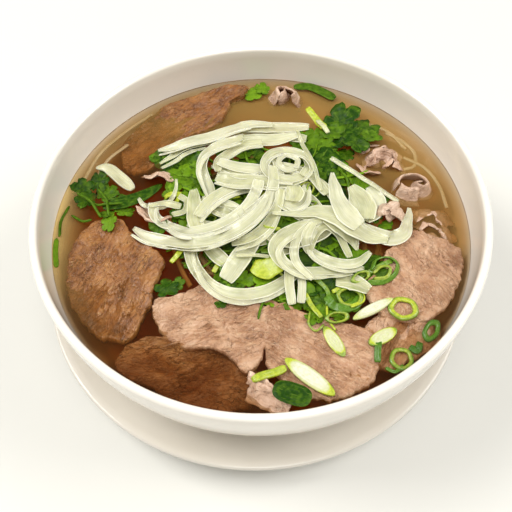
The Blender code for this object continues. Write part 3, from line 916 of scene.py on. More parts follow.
def make_scraps():
    """The small curled and folded pieces, each a crumpled sheet where its CAD solid lies."""
    scraps = {
        "beef_scrap_front": lambda g: [
            curled(g, [(-6, -88), (0, -92), (5, -95), (11, -98)], 9, (-2, 5, 0.9), 1.8, 31, 1.2),
            curled(g, [(-7, -83), (-2, -86), (3, -90), (8, -93)], 6, (-1, 5, 0.7), 1.6, 32, 1.0),
        ],
        "beef_curl_back": lambda g: [
            curled(g, [(10, 84), (9, 90), (13, 94), (19, 93), (23, 88), (21, 82)], 10, (-3, 7, -0.5),
                   1.6, 33),
            curled(g, [(12, 84), (16, 88), (17, 92)], 8, (-2, 6, 0.3), 1.5, 34, 1.1),
        ],
        "beef_curl_far_right": lambda g: [
            curled(g, [(58, 36), (60, 44), (66, 49), (72, 46), (74, 40)], 8, (-3, 4.5, -0.7), 1.7, 35, 1.3),
            curled(g, [(61, 38), (65, 43), (70, 40)], 8, (-2, 5, 0.6), 1.6, 36, 1.4),
            curled(g, [(56, 46), (59, 51), (64, 52)], 6, (-4, 2.5, -0.8), 1.6, 37, 1.2),
            curled(g, [(66, 36), (71, 41), (75, 38), (73, 33)], 7, (-4, 3.5, -0.7), 1.6, 45, 1.4),
            curled(g, [(54, 38), (57, 33), (63, 33)], 7, (-4, 3.5, -0.9), 1.6, 46, 1.3),
        ],
        "beef_curl_right_sunk": lambda g: [
            curled(g, [(76, 6), (83, 9), (91, 7), (96, 0)], 11, (-8, 0.6, -1.0), 1.8, 38, 1.6),
            curled(g, [(77, -2), (85, 2), (92, -2), (95, -9)], 10, (-8, 0.8, -1.0), 1.8, 39, 1.6),
            curled(g, [(80, -9), (86, -6), (92, -11)], 8, (-7, 0.2, -0.8), 1.8, 40, 1.4),
        ],
        "beef_roll_right": lambda g: [
            curled(g, [(70, 20), (72, 26), (78, 28), (85, 26), (88, 21), (85, 17), (80, 19), (80, 23),
                       (84, 23)], 9, (-3, 6.0, -0.35), 1.5, 41, 0.6, 0.12),
            curled(g, [(71, 18), (76, 15), (82, 15)], 8, (-3, 5.0, 0.7), 1.5, 42, 0.8, 0.1),
        ],
        "beef_bit_left": lambda g: [
            curled(g, [(-60, 30), (-54, 33), (-47, 32), (-43, 28)], 9, (-2, 6.2, -1.0), 1.8, 43, 1.2, 0.08),
        ],
        "beef_bit_under_onion": lambda g: [
            curled(g, [(-60, 10), (-56, 5), (-50, 2), (-46, 4)], 8, (0, 6.0, -0.8), 1.8, 44, 1.2, 0.05),
        ],
    }
    for node, build in scraps.items():
        gathered = Gathered()
        build(gathered)
        gathered.make(node.replace("beef_", "rare_"), BEEF_RARE, [node])


# ---------------------------------------------------------------- noodles


def add_noodle(gathered, line, z, width, thick, roll):
    """A noodle along a line of (x, y) at the heights z, rolled this much to one side."""
    ahead = np.gradient(line, axis=0)
    across = np.column_stack([-ahead[:, 1], ahead[:, 0], roll * np.hypot(*ahead.T)])
    n = len(line)
    path = np.column_stack([line, z])
    points, faces, grain = sweep(path, np.full(n, width), np.full(n, thick), across, NOODLE_SECTION)
    gathered.add(points, faces, 0.0, grain)


def make_noodles():
    """Flat rice noodles in loose turns over a smaller core, mostly under the broth and the herbs."""
    dice = random.Random(11)
    core = Gathered()
    rings, around = 14, 72
    centre = np.array((10.0, 9.0))
    points = []
    for i in range(1, rings + 1):
        s = i / rings
        for k in range(around):
            a = 2 * math.pi * k / around
            radius = (40 + 5 * math.cos(a - 0.7) + 2 * math.sin(3 * a)) * s
            x, y = centre + radius * np.array((math.cos(a), math.sin(a)))
            points.append((x, y, -3.2 - 9 * s**4 + 0.8 * math.sin(x * 0.5 + 2 * math.sin(y * 0.3))))
    low = floor_height(0.0) + 2.0
    points = np.array([*points, (*centre, -3.0), (*centre, low)])
    core.add(points, turned_over(tube_faces(rings, around)), 0.0, points)
    core.make("noodle_core", NOODLE)
    ground.raise_to(points[:-1, 0], points[:-1, 1], points[:-1, 2])

    strands = Gathered()
    for _ in range(NOODLE_COUNT):
        radius = dice.uniform(22, 50)
        turn = dice.uniform(0, 2 * math.pi)
        span = dice.uniform(1.2, 2.6)
        cx, cy = dice.gauss(8, 5), dice.gauss(7, 5)
        wobble = dice.uniform(2, 6)
        phase = dice.uniform(0, 6)
        path = []
        for t in np.linspace(0, 1, 10):
            a = turn + span * t
            r = radius + wobble * math.sin(3 * a + phase)
            x, y = cx + r * math.cos(a), cy + 0.92 * r * math.sin(a)
            out = math.hypot(x, y)
            if out > 86:
                x, y = x * 86 / out, y * 86 / out
            path.append((x, y))
        line = curve_through(path, 1.6)
        r = np.hypot(line[:, 0] - 8, line[:, 1] - 8)
        z = -3.0 - 12.0 * smooth_step(30, 66, r) + 1.4 * np.sin(np.arange(len(line)) * 0.11 + phase)
        z += dice.uniform(-2.0, 0.4)
        z = np.maximum(z, floor_height(np.hypot(line[:, 0], line[:, 1])) + 1.6)
        add_noodle(strands, line, z, *NOODLE_SIZE, dice.uniform(-0.6, 0.6))
    for path in (
        [(-93, 34), (-86, 52), (-74, 68), (-60, 80)],
        [(-88, 30), (-82, 46), (-72, 58)],
        [(70, 62), (78, 56), (84, 47), (83, 38), (77, 36)],
        [(78, 44), (88, 36), (94, 24), (96, 10)],
        [(60, 70), (72, 62), (80, 50)],
    ):
        line = curve_through(path, 1.6)
        add_noodle(strands, line, -1.6 + 0.5 * np.sin(np.arange(len(line)) * 0.2), *THIN_NOODLE_SIZE, 0.0)
    strands.make("noodle_strands", NOODLE, ["noodles"])


# ---------------------------------------------------------------- herbs


def leaf_shape(size, lobes, seed, dice):
    """A flat leaf round its middle: points, faces and grain. Lobes are as on cilantro, 1 is oval."""
    around, rings = 40, 5
    a = np.linspace(0, 2 * math.pi, around, endpoint=False)
    if lobes > 1:
        cut = 0.30 * np.abs(np.cos(a * lobes / 2)) ** 0.7 + 0.10 * np.abs(np.cos(a * lobes * 1.5))
        radius = size / 2 * (0.62 + cut) * (1 + 0.12 * np.sin(a * 2 + seed))
    else:
        radius = size / 2 * (0.42 + 0.58 * np.abs(np.cos(a)) ** 1.4)
    radius = radius * (1 + 0.05 * np.array([dice.uniform(-1, 1) for _ in a]))
    rows = []
    for i in range(1, rings + 1):
        s = i / rings
        rows.append(np.column_stack([radius * s * np.cos(a), radius * s * np.sin(a), np.zeros(around)]))
    flat = np.vstack(rows + [np.zeros((1, 3))])
    flat[:, 2] = size * 0.07 * noise_at(flat, size * 0.3, seed) - size * 0.02 * np.cos(
        np.arctan2(flat[:, 1], flat[:, 0]) * lobes * 2
    ) * (np.hypot(flat[:, 0], flat[:, 1]) / size)
    points = np.vstack([flat + (0, 0, LEAF_THICK / 2), flat - (0, 0, LEAF_THICK / 2)])
    spokes = np.column_stack([np.hypot(flat[:, 0], flat[:, 1]), np.arctan2(flat[:, 1], flat[:, 0]) * 2.2])
    grain = np.column_stack([spokes, np.full(len(flat), seed * 7.0)])
    return points, disc_faces(rings, around), np.vstack([grain, grain])


def lay_leaf(gathered, dice, leaf, lift=1.0, tilt=0.25, follow=0.7, seen=False):
    """Lays a leaf of (x, y, size, turn, shade, lobes, stretch) on what is there, partly following it
    and partly standing off it. If seen, (x, y) is where the camera sees it on HEAP_PLANE."""
    x, y, size, turn, shade, lobes, stretch = leaf
    soft = ground.blurred(2)
    if seen:
        at = y
        for _ in range(4):
            y = at + (HEAP_PLANE - lift - soft.under(np.array([x]), np.array([y]))[0]) * SIGHT_SLOPE
    points, faces, grain = leaf_shape(size, lobes, dice.uniform(0, 40), dice)
    points = points * (1.0, stretch, 1.0)
    turn = math.radians(turn)
    c, s = math.cos(turn), math.sin(turn)
    px = x + points[:, 0] * c - points[:, 1] * s
    py = y + points[:, 0] * s + points[:, 1] * c
    under = soft.under(px, py)
    middle = soft.under(np.array([x]), np.array([y]))[0]
    lean = dice.uniform(0, 2 * math.pi)
    slope = tilt * ((px - x) * math.cos(lean) + (py - y) * math.sin(lean))
    z = middle + (under - middle) * follow + slope + points[:, 2] + lift
    z = np.maximum(z, under + 0.15)
    gathered.add(np.column_stack([px, py, z]), faces, shade, grain)
    ground.raise_to(px, py, z)


def lay_strip(gathered, path, width, thick, shade, lift=0.0, roll=0.0, seen=False, stiff=5,
              section=FLAT_SECTION, taper=0.5, seed=0.0, spacing=1.2, arch=0.0):
    """Lays a ribbon along a path of (x, y) on what is there. Its width is one number or several along
    it. If seen, the path is where the camera sees it on HEAP_PLANE, and it slides along the line of
    sight to the height that it gets."""
    line = curve_through(path, spacing)
    n = len(line)
    given = np.atleast_1d(np.asarray(width, float))
    profile = np.interp(np.linspace(0, 1, n), np.linspace(0, 1, len(given)), given)
    width = given.max()
    xy = line
    for _ in range(3 if seen else 1):
        ahead = np.gradient(xy, axis=0)
        ahead /= np.linalg.norm(ahead, axis=1)[:, None] + 1e-9
        side = np.column_stack([-ahead[:, 1], ahead[:, 0]])
        tops = [ground.afloat(*(xy + side * profile[:, None] * o).T) for o in (-0.42, -0.2, 0, 0.2, 0.42)]
        under = np.max(tops, axis=0)
        base = softened(under, stiff)
        z = np.maximum(base, softened(np.maximum(under, base), max(1, stiff // 2))) + thick / 2 + lift
        z = z + arch * (0.5 - 0.5 * np.cos(np.arange(n) * 0.16 + seed))
        z = np.minimum(z, CROWN + (z - CROWN) * SETTLED)
        if seen:
            xy = line + np.column_stack([np.zeros(n), (HEAP_PLANE - z) * SIGHT_SLOPE])
    widths = profile * (1 + 0.06 * np.sin(np.arange(n) * 0.13 + seed))
    ends = np.minimum(np.arange(n), np.arange(n)[::-1]) * spacing / max(width * 0.55, 0.5)
    widths = widths * (taper + (1 - taper) * np.sqrt(np.clip(ends, 0, 1)))
    thicks = thick * (0.5 + 0.5 * np.clip(ends, 0, 1))
    lean = roll + 0.18 * np.sin(np.arange(n) * 0.07 + seed * 1.7)
    across = np.column_stack([side * np.cos(lean)[:, None], np.sin(lean)])
    points, faces, grain = sweep(np.column_stack([xy, z]), widths, thicks, across, section)
    grain = grain + (seed * 41.0, 0, 0)
    gathered.add(points, faces, shade, grain)
    for o in np.linspace(-0.45, 0.45, max(3, int(width))):
        ground.raise_to(xy[:, 0] + side[:, 0] * widths * o, xy[:, 1] + side[:, 1] * widths * o, z + thick / 2)


def lay_ring(gathered, x, y, radius, height, wall, turn, squash, tilt, lift, seed, outside):
    """A ring cut from a scallion, greener outside than within. Its outside has this shade."""
    around, sides = 40, 8
    turn, tilt = math.radians(turn), math.radians(tilt)
    spin = Matrix.Rotation(turn, 3, "Z") @ Matrix.Rotation(tilt, 3, "X")
    base = ground.blurred(1).under(np.array([x]), np.array([y]))[0]
    z0 = base + height / 2 + lift + abs(math.sin(tilt)) * radius * 0.5
    points, shades, grains, faces = [], [], [], []
    for i in range(around):
        a, n = 2 * math.pi * i / around, (i + 1) % around
        wobble = 1 + 0.05 * math.sin(2 * a + seed) + 0.03 * math.sin(5 * a + seed * 2)
        for j in range(sides):
            b, m = 2 * math.pi * j / sides, (j + 1) % sides
            out = radius * wobble + wall * 0.5 * math.cos(b)
            at = spin @ Vector((out * math.cos(a), out * math.sin(a) * squash, height * 0.5 * math.sin(b)))
            points.append((x + at.x, y + at.y, z0 + at.z))
            shades.append(outside if math.cos(b) > 0.3 else outside + 0.12)
            grains.append((radius * a, height * math.sin(b), seed))
            faces.append([i * sides + j, n * sides + j, n * sides + m, i * sides + m])
    gathered.add(points, faces, shades, grains)


def make_herb_core():
    """A lumpy mound of chopped leaves that the loose ones lie on."""
    around, rings = 120, 40
    centre = np.array((4.0, 3.0))
    gathered = Gathered()
    points = []
    for i in range(1, rings + 1):
        s = i / rings
        for k in range(around):
            a = 2 * math.pi * k / around
            radius = 41 + 11 * math.cos(a - 0.82) ** 3 + 9 * math.exp(-(((a - 5.35) / 0.35) ** 2))
            radius += 4 * math.exp(-(((a - 2.6) / 0.4) ** 2))
            x, y = centre + radius * s * np.array((math.cos(a), math.sin(a)))
            points.append((x, y, 5.6 * (1 - s**2.2) + 0.4 - 3.5 * s**8))
    points = np.array(points)
    rough = 1.1 * noise_at(points, 4.0, 5) + 0.7 * noise_at(points, 1.7, 6) + 0.4 * noise_at(points, 0.9, 7)
    points[:, 2] += rough
    points = np.vstack([points, [[*centre, 6.0], [*centre, -2.5]]])
    tone = np.clip(0.45 + 0.9 * noise_at(points, 3.0, 9), 0, 1)
    gathered.add(points, turned_over(tube_faces(rings, around)), tone, points)
    gathered.make("herb_mound", HERB_CORE)
    ground.raise_to(points[:-1, 0], points[:-1, 1], points[:-1, 2])


HERB_LEAVES = [
    # x, y, size, turn, shade, lobes, stretch
    (-54, 47, 11, 30, 0.35, 1, 0.9), (-44, 50, 13, 10, 0.3, 5, 0.9), (-36, 47, 14, 70, 0.45, 5, 1.0),
    (-42, 38, 16, 120, 0.7, 5, 1.0), (-34, 34, 14, 20, 0.5, 3, 0.9), (-30, 44, 13, 80, 0.55, 1, 0.7),
    (-38, 28, 11, 10, 0.6, 5, 0.9), (-45, 22, 9, 60, 0.8, 3, 0.9), (-36, 12, 13, 100, 0.75, 3, 0.6),
    (-38, 2, 12, 80, 0.6, 5, 0.7), (-30, -6, 11, 40, 0.5, 5, 0.9), (-25, 2, 14, 20, 0.4, 5, 1.0),
    (-14, 8, 16, 10, 0.35, 3, 0.7), (-8, 40, 16, 170, 0.5, 1, 0.6), (2, 36, 12, 130, 0.3, 5, 0.9),
    (-4, 14, 10, 30, 0.2, 5, 1.0), (26, 52, 15, 20, 0.75, 5, 0.9), (34, 56, 13, 100, 0.6, 3, 0.9),
    (36, 46, 15, 30, 0.4, 5, 0.9), (30, 40, 14, 80, 0.15, 5, 1.0), (40, 38, 12, 20, 0.25, 5, 0.9),
    (34, 30, 15, 60, 0.55, 5, 0.9), (44, 28, 13, 150, 0.65, 3, 0.8), (50, 24, 14, 120, 0.75, 1, 0.45),
    (28, 14, 13, 40, 0.2, 5, 1.0), (52, 8, 12, 20, 0.3, 5, 0.9), (58, 4, 9, 60, 0.4, 5, 0.9),
    (12, 2, 12, 120, 0.5, 3, 0.7), (20, -14, 14, 70, 0.7, 3, 0.7), (3, -12, 12, 100, 0.55, 5, 0.9),
    (4, -22, 10, 10, 0.4, 5, 0.7), (-18, -30, 12, 60, 0.3, 5, 0.9), (-34, -22, 10, 10, 0.3, 5, 0.9),
    (2, -34, 15, 20, 0.95, 3, 1.0), (5, -44, 14, 0, 0.8, 5, 0.8), (-8, -32, 12, 30, 0.6, 5, 0.8),
    (26, -36, 14, 20, 0.6, 3, 0.8), (34, -32, 14, 140, 0.65, 1, 0.6), (20, -44, 13, 10, 0.25, 5, 1.0),
    (28, -46, 13, 60, 0.35, 5, 0.9), (44, -30, 11, 20, 0.35, 5, 0.9), (50, -22, 11, 70, 0.4, 5, 0.9),
    (24, -54, 11, 100, 0.5, 5, 0.9), (36, -52, 11, 40, 0.5, 5, 0.9), (-40, -34, 8, 20, 0.3, 5, 0.8),
]

# More leaves, each where the camera sees it on HEAP_PLANE.
SEEN_LEAVES = [
    (-51, 35, 15, 20, 0.15, 3, 0.8), (-48, 28, 11, 0, 0.0, 5, 0.9), (-42, 37, 21, 60, 0.3, 5, 0.9),
    (-34, 39, 17, 140, 0.45, 3, 0.8), (-38, 31, 20, 100, 0.2, 5, 1.0), (-40, 22, 18, 10, 0.55, 5, 0.9),
    (-33, 17, 15, 70, 0.35, 5, 0.9), (-39, 5, 15, 90, 0.5, 5, 0.6), (-37, 10, 12, 30, 0.7, 5, 0.7),
    (-43, -4, 10, 60, 0.3, 5, 0.9), (-51, -9, 11, 30, 0.35, 3, 0.8), (-14, 6, 18, 15, 0.35, 3, 0.6),
    (-20, -2, 16, 30, 0.1, 5, 0.9), (-11, 0, 13, 70, 0.3, 5, 0.9), (-2, 34, 18, 0, 0.12, 5, 0.8),
    (-7, 37, 13, 20, 0.5, 3, 0.6), (-20, 37, 10, 60, 0.4, 3, 0.6), (0, 10, 14, 90, 0.4, 5, 0.7),
    (27, 46, 16, 70, 0.5, 5, 0.9), (31, 42, 19, 30, 0.45, 5, 1.0), (37, 38, 17, 100, 0.55, 5, 0.8),
    (33, 30, 22, 60, 0.04, 5, 1.0), (40, 28, 15, 10, 0.08, 5, 1.0), (35, 20, 17, 20, 0.12, 5, 1.0),
    (29, 22, 14, 120, 0.3, 5, 0.8), (43, 24, 19, 130, 0.75, 3, 0.5), (51, 18, 20, 130, 0.75, 3, 0.45),
    (57, 11, 15, 120, 0.6, 3, 0.5), (62, 3, 10, 20, 0.25, 5, 0.9), (24, 8, 13, 40, 0.15, 5, 0.9),
    (53, -6, 11, 30, 0.3, 5, 0.9), (63, -13, 8, 30, 0.5, 5, 0.9), (2, -19, 15, 80, 0.25, 5, 0.8),
    (16, -11, 15, 160, 0.85, 3, 0.55), (8, -12, 12, 60, 0.0, 5, 0.9), (31, -24, 13, 20, 0.3, 5, 0.9),
    (43, -28, 13, 60, 0.5, 5, 0.7), (31, -41, 19, 10, 0.8, 3, 0.8), (24, -46, 17, 60, 0.05, 5, 0.9),
    (31, -49, 17, 20, 0.1, 5, 0.9), (38, -44, 15, 80, 0.15, 5, 0.9), (8, -50, 17, 0, 0.65, 5, 0.8),
    (2, -49, 13, 70, 0.55, 5, 0.8), (14, -55, 14, 30, 0.5, 5, 0.8), (23, -54, 15, 100, 0.6, 3, 0.7),
    (30, -57, 14, 20, 0.2, 5, 0.8), (52, -34, 15, 30, 0.15, 5, 0.9), (47, -31, 11, 70, 0.5, 5, 0.9),
    (43, -52, 15, 30, 0.2, 5, 0.9), (36, -56, 15, 80, 0.35, 5, 0.8), (27, -61, 12, 50, 0.55, 5, 0.7),
    (42, -58, 11, 20, 0.45, 5, 0.7), (56, -40, 12, 60, 0.25, 5, 0.8), (-46, 12, 12, 40, 0.6, 5, 0.8),
    (-44, 14, 9, 80, 0.9, 5, 0.8), (-34, 26, 15, 0, 0.75, 5, 0.9), (46, 34, 12, 30, 0.2, 5, 0.9),
    (22, 44, 10, 30, 0.3, 5, 0.9), (-39, -25, 11, 110, 0.35, 5, 0.6), (-19, -55, 6, 20, 0.1, 5, 0.9),
    (-30, 46, 8, 20, 0.4, 3, 0.8),
]

BUNCH_LEAVES = [
    (46, 68, 23, 30, 0.08, 5, 1.0), (56, 60, 21, 80, 0.2, 5, 1.0), (47, 56, 19, 10, 0.05, 5, 1.0),
    (41, 60, 14, 10, 0.35, 5, 0.9), (60, 55, 15, 50, 0.4, 5, 0.9), (52, 50, 16, 120, 0.12, 5, 0.9),
]

CLUMP_LEAVES = [
    (-93, 26, 13, 20, 0.15, 5, 0.9), (-84, 30, 14, 70, 0.1, 5, 0.9), (-79, 22, 14, 120, 0.3, 5, 1.0),
    (-90, 18, 12, 40, 0.2, 5, 0.9), (-72, 16, 11, 10, 0.35, 5, 0.8), (-76, 2, 12, 80, 0.7, 5, 0.8),
    (-69, 10, 10, 30, 0.6, 5, 0.8), (-78, 8, 9, 30, 0.4, 3, 0.8),
]


def make_herbs():
    dice = random.Random(5)
    leaves = Gathered()
    for leaf in HERB_LEAVES:
        lay_leaf(leaves, dice, leaf, tilt=dice.uniform(0.05, 0.4))
    for leaf in SEEN_LEAVES:
        lay_leaf(leaves, dice, leaf, 0.6, dice.uniform(0.05, 0.3), seen=True)
    for _ in range(LEAF_COUNT):
        a, r = dice.uniform(0, 2 * math.pi), dice.uniform(0, 1) ** 0.6
        x, y = 5 + 46 * r * math.cos(a), 3 + 46 * r * math.sin(a)
        shade = dice.choice((0.1, 0.2, 0.3, 0.45, 0.6, 0.85))
        size, turn = dice.uniform(5, 11), dice.uniform(0, 360)
        leaf = (x, y, size, turn, shade, dice.choice((1, 3, 5, 5)), dice.uniform(0.6, 1))
        lay_leaf(leaves, dice, leaf, lift=0.3, tilt=dice.uniform(0.1, 0.6))
    for _ in range(STEM_COUNT):
        a, r = dice.uniform(0, 2 * math.pi), 50 * dice.uniform(0, 1) ** 0.5
        x, y = 6 + r * math.cos(a), 2 + r * math.sin(a)
        heading, length = dice.uniform(0, 2 * math.pi), dice.uniform(9, 22)
        bend = dice.uniform(-0.5, 0.5)
        path = [
            (x + length * t * math.cos(heading + bend * t), y + length * t * math.sin(heading + bend * t))
            for t in (-0.5, -0.2, 0.15, 0.5)
        ]
        width, thick = dice.uniform(0.9, 1.7), dice.uniform(0.8, 1.3)
        shade = dice.choice((0.45, 0.6, 0.8, 0.95))
        lay_strip(leaves, path, width, thick, shade, section=STEM, stiff=4, seed=dice.uniform(0, 9))
    leaves.make("chopped_herbs", CILANTRO, ["herb_heap"])

    bunch = Gathered()
    for leaf in BUNCH_LEAVES:
        lay_leaf(bunch, dice, leaf, lift=2.6, tilt=0.3)
    bunch.make("cilantro_bunch", CILANTRO)

    clump = Gathered()
    for leaf in CLUMP_LEAVES:
        lay_leaf(clump, dice, leaf, lift=1.4, tilt=0.35, follow=0.3)
    lay_strip(clump, [(-80, 11), (-70, 14), (-60, 20), (-51, 27)], (5, 7, 6, 3), 0.6, 0.1, lift=1.2, stiff=9)
    lay_strip(clump, [(-101.8, -6), (-101.2, -14), (-99.5, -23)], 2.4, 1.2, 0.75, lift=0.8, stiff=9)
    for path in (
        [(-98, 14), (-101, 4), (-100, -6)],
        [(-88, 16), (-80, 12), (-70, 12)],
        [(-84, 24), (-78, 14), (-76, 4)],
        [(-94, 20), (-86, 14), (-80, 4)],
        [(-96, 8), (-90, 4), (-85, 4)],
    ):
        lay_strip(clump, path, 1.5, 1.3, 0.35, lift=1.0, section=STEM, stiff=6)
    clump.make("cilantro_left", CILANTRO, ["cilantro_clump_left"])
    return dice


def make_single_leaves(dice):
    """The leaves that lie alone on the broth or on the beef."""
    singles = {
        "leaf_back": lambda g: [
            lay_leaf(g, dice, (-2, 92, 13, 20, 0.75, 5, 1.0), lift=1.6, tilt=0.1, follow=0.0),
            lay_leaf(g, dice, (3, 95, 10, 80, 0.6, 5, 1.0), lift=1.6, tilt=0.1, follow=0.0),
        ],
        "blade_back": lambda g: [
            lay_strip(g, [(21, 96), (30, 96), (38, 91), (44, 86)], 5.0, 0.7, 0.3, lift=2.0, stiff=9),
        ],
        "leaf_left": lambda g: [lay_leaf(g, dice, (-45, -36, 14, 30, 0.05, 5, 0.75), lift=0.6, tilt=0.1)],
        "leaf_front": lambda g: [lay_oval(g, 12, -92.5, 17, 10, -20, 0.6, 0.06, 0.04, 0.72, lift=2.8)],
    }
    for node, build in singles.items():
        gathered = Gathered()
        build(gathered)
        gathered.make(node + "_loose", CILANTRO, [node])


def lay_oval(gathered, x, y, long, short, turn, thick, rim, middle, point, lift=0.2, seed=0.0):
    """A slanted cut of scallion: a flat oval, greener at its tips and rim and paler inside in rings. A
    point under 1 makes it squarer, and one over 1 narrows its ends."""
    around, rings = 40, 9
    a = np.linspace(0, 2 * math.pi, around, endpoint=False)
    c, s = np.cos(a), np.sin(a)
    end = np.sign(c) * np.abs(c) ** min(point, 1.0)
    side = np.sign(s) * np.abs(s) ** point
    shape = np.column_stack([long / 2 * end, short / 2 * side])
    shares = np.append(np.arange(1, rings) / (rings - 0.6), 1.0)
    flat = np.vstack([shape * share for share in shares] + [np.zeros((1, 2))])
    depth = np.append(np.repeat(shares, around), 0.0)
    turn = math.radians(turn)
    px = x + flat[:, 0] * math.cos(turn) - flat[:, 1] * math.sin(turn)
    py = y + flat[:, 0] * math.sin(turn) + flat[:, 1] * math.cos(turn)
    z = np.percentile(ground.blurred(1).under(px, py), 80) + lift
    ridge = 0.16 * np.cos(depth * 16 + seed) - 0.25 * smooth_step(0.9, 1.0, depth)
    top = np.column_stack([px, py, z + thick + ridge])
    low = np.column_stack([px, py, z + 0.3 * smooth_step(0.9, 1.0, depth)])
    layer = 0.05 * np.sin(depth * 20 + seed)
    tip = smooth_step(0.45, 1.0, np.abs(flat[:, 0]) / (long / 2))
    green = np.minimum(1.0, 0.8 * tip + 0.6 * smooth_step(0.74, 0.95, depth))
    shade = middle + layer + (rim - middle) * green
    grain = np.column_stack([flat[:, 0] + seed * 9, flat[:, 1], depth])
    faces = disc_faces(rings, around)
    gathered.add(np.vstack([top, low]), faces, np.tile(shade, 2), np.vstack([grain, grain]))
    ground.raise_to(px, py, top[:, 2])


# Loops and bits of green onion in the heap, as the camera sees them: path, width, roll and shade.
SCALLION_LOOPS = [
    ([(46, -43), (52, -39), (58, -35), (63, -33)], 2.6, 0.3, 0.3),
    ([(50, -45), (57, -45), (63, -41), (65, -35), (61, -31), (55, -33), (52, -38)], 2.6, 0.9, 0.25),
    ([(53, -43), (59, -42), (61, -37), (57, -36), (53, -40)], 1.6, 0.6, 0.42),
    ([(22, -40), (27, -44), (31, -50), (30, -57)], 2.2, 0.5, 0.3),
    ([(30, -52), (34, -58), (42, -58), (47, -53)], 4.5, 0.0, 0.22),
    ([(33, -50), (40, -47), (46, -50), (47, -55), (41, -58)], 2.0, 0.4, 0.5),
    ([(20, -50), (23, -57), (27, -63)], 2.4, 0.2, 0.45),
    ([(22, -60), (21, -66), (24, -70), (28, -67)], 0.9, 0.1, 0.4),
    ([(30, -57), (30, -64), (33, -70)], 1.0, 0.1, 0.5),
    ([(0, -26), (5, -26), (10, -27)], 3.0, 0.0, 0.3),
    ([(-38, -23), (-41, -28), (-44, -32)], 3.0, 0.2, 0.5),
    ([(-12, 19), (-9, 16), (-6, 12)], 3.6, 0.1, 0.52),
    ([(-21, 5), (-16, 8), (-10, 9)], 4.0, 0.3, 0.48),
    ([(-23, -38), (-20, -33), (-14, -30), (-13, -34), (-19, -38)], 2.6, 0.2, 0.54),
    ([(-49, 8), (-46, 10), (-40, 10)], 3.4, 0.0, 0.5),
    ([(-44, 2), (-41, 8)], 3.0, 0.0, 0.5),
    ([(3, 14), (1, 8), (-1, 2)], 2.4, 0.2, 0.5),
    ([(13, 40), (16, 37), (19, 35)], 1.8, 0.2, 0.5),
    ([(-14, 49), (-6, 49), (0, 50)], 1.4, 0.0, 0.3),
    ([(22, -18), (26, -14), (30, -10)], 2.6, 0.2, 0.5),
    ([(28, 70), (32, 62), (36, 54)], 4.2, 0.2, 0.5),
    ([(33, 60), (36, 54), (38, 50)], 3.0, 0.0, 0.8),
]


def make_scallions(dice):
    """The rings and the slanted slices that lie on the beef in front, and those in the heap."""
    heap = Gathered()
    for _ in range(RING_COUNT):
        a, r = dice.uniform(0, 2 * math.pi), dice.uniform(0, 1) ** 0.6
        x, y = 6 + 40 * r * math.cos(a), 1 + 40 * r * math.sin(a)
        lay_ring(heap, x, y, dice.uniform(2.0, 4.0), dice.uniform(1.2, 2), dice.uniform(0.9, 1.5),
                 dice.uniform(0, 180), dice.uniform(0.4, 1), dice.uniform(0, 60), 0.0, dice.uniform(0, 9),
                 dice.choice((0.15, 0.3, 0.45)))
    for path, width, roll, shade in SCALLION_LOOPS:
        lay_strip(heap, path, width, SCALLION_THICK, shade, 0.1, roll, seen=True, taper=0.8, spacing=0.8,
                  stiff=4, seed=width)
    # The broad lime piece under the lowest bow of onion.
    lay_strip(heap, [(-4, -34), (2, -36), (10, -33)], (9, 11, 8), 0.7, 0.5, 1.6, 0.15, seen=True, taper=0.7)
    for x, y, radius, squash, turn, tilt in (
        (41, -44, 5.4, 0.8, 0, 8), (47, -34, 4.4, 0.5, 30, 25), (34, -56, 4.6, 0.5, 10, 20),
    ):
        lay_ring(heap, x, y, radius, 1.6, 2.2, turn, squash, tilt, 0.3, x, 0.3)
    # Short dark pieces by the wall at the lower right.
    for path, width, shade in (
        ([(52, -67), (51, -72), (50.5, -77)], 3.0, 0.12),
        ([(66, -69), (69, -71), (71, -67)], 3.2, 0.08),
        ([(54, -79), (58, -81), (62, -78)], 1.6, 0.2),
    ):
        lay_strip(heap, path, width, 1.1, shade, 0.3, 0.1, stiff=5, taper=0.8, spacing=0.8)
    heap.make("scallion_bits", SCALLION)

    rings = {
        "scallion_ring_right": (65, -51, 5.4, 2.9, 0, 0, 0.95, 0.36),
        "scallion_ring_edge": (76.5, -62, 4.4, 3.4, 50, 25, 0.65, 0.1),
        "scallion_ring_low": (61.5, -75, 4.6, 2.2, 0, 0, 0.95, 0.28),
    }
    for node, (x, y, radius, wall, turn, tilt, squash, shade) in rings.items():
        gathered = Gathered()
        lay_ring(gathered, x, y, radius, 1.8, wall, turn, squash, tilt, 0.2, x, shade)
        gathered.make(node.replace("scallion_", "loose_"), SCALLION, [node])

    slices = {
        "scallion_ring_slant": (32, -67, 17, 6.2, -62, 1.0, 0.36, 0.8, 1.1),
        "scallion_slice_front": (20, -84, 27, 7.4, -40, 2.0, 0.42, 0.98, 1.15),
        "scallion_slice_right": (54, -65, 15, 6.4, 28, 1.4, 0.4, 0.82, 1.0),
        "scallion_slice_white": (51, -51, 22, 5.0, 28, 1.8, 0.62, 0.96, 1.25),
    }
    for node, (x, y, long, short, turn, thick, rim, middle, point) in slices.items():
        gathered = Gathered()
        lay_oval(gathered, x, y, long, short, turn, thick, rim, middle, point, seed=x)
        gathered.make(node.replace("scallion_", "cut_"), SCALLION, [node])
    strip = Gathered()
    lay_strip(strip, [(-5, -86), (2, -83), (10, -80)], 3.6, 1.8, 0.46, lift=0.2, stiff=8, taper=0.6)
    strip.make("cut_strip_front", SCALLION, ["scallion_strip_front"])


# ---------------------------------------------------------------- onion

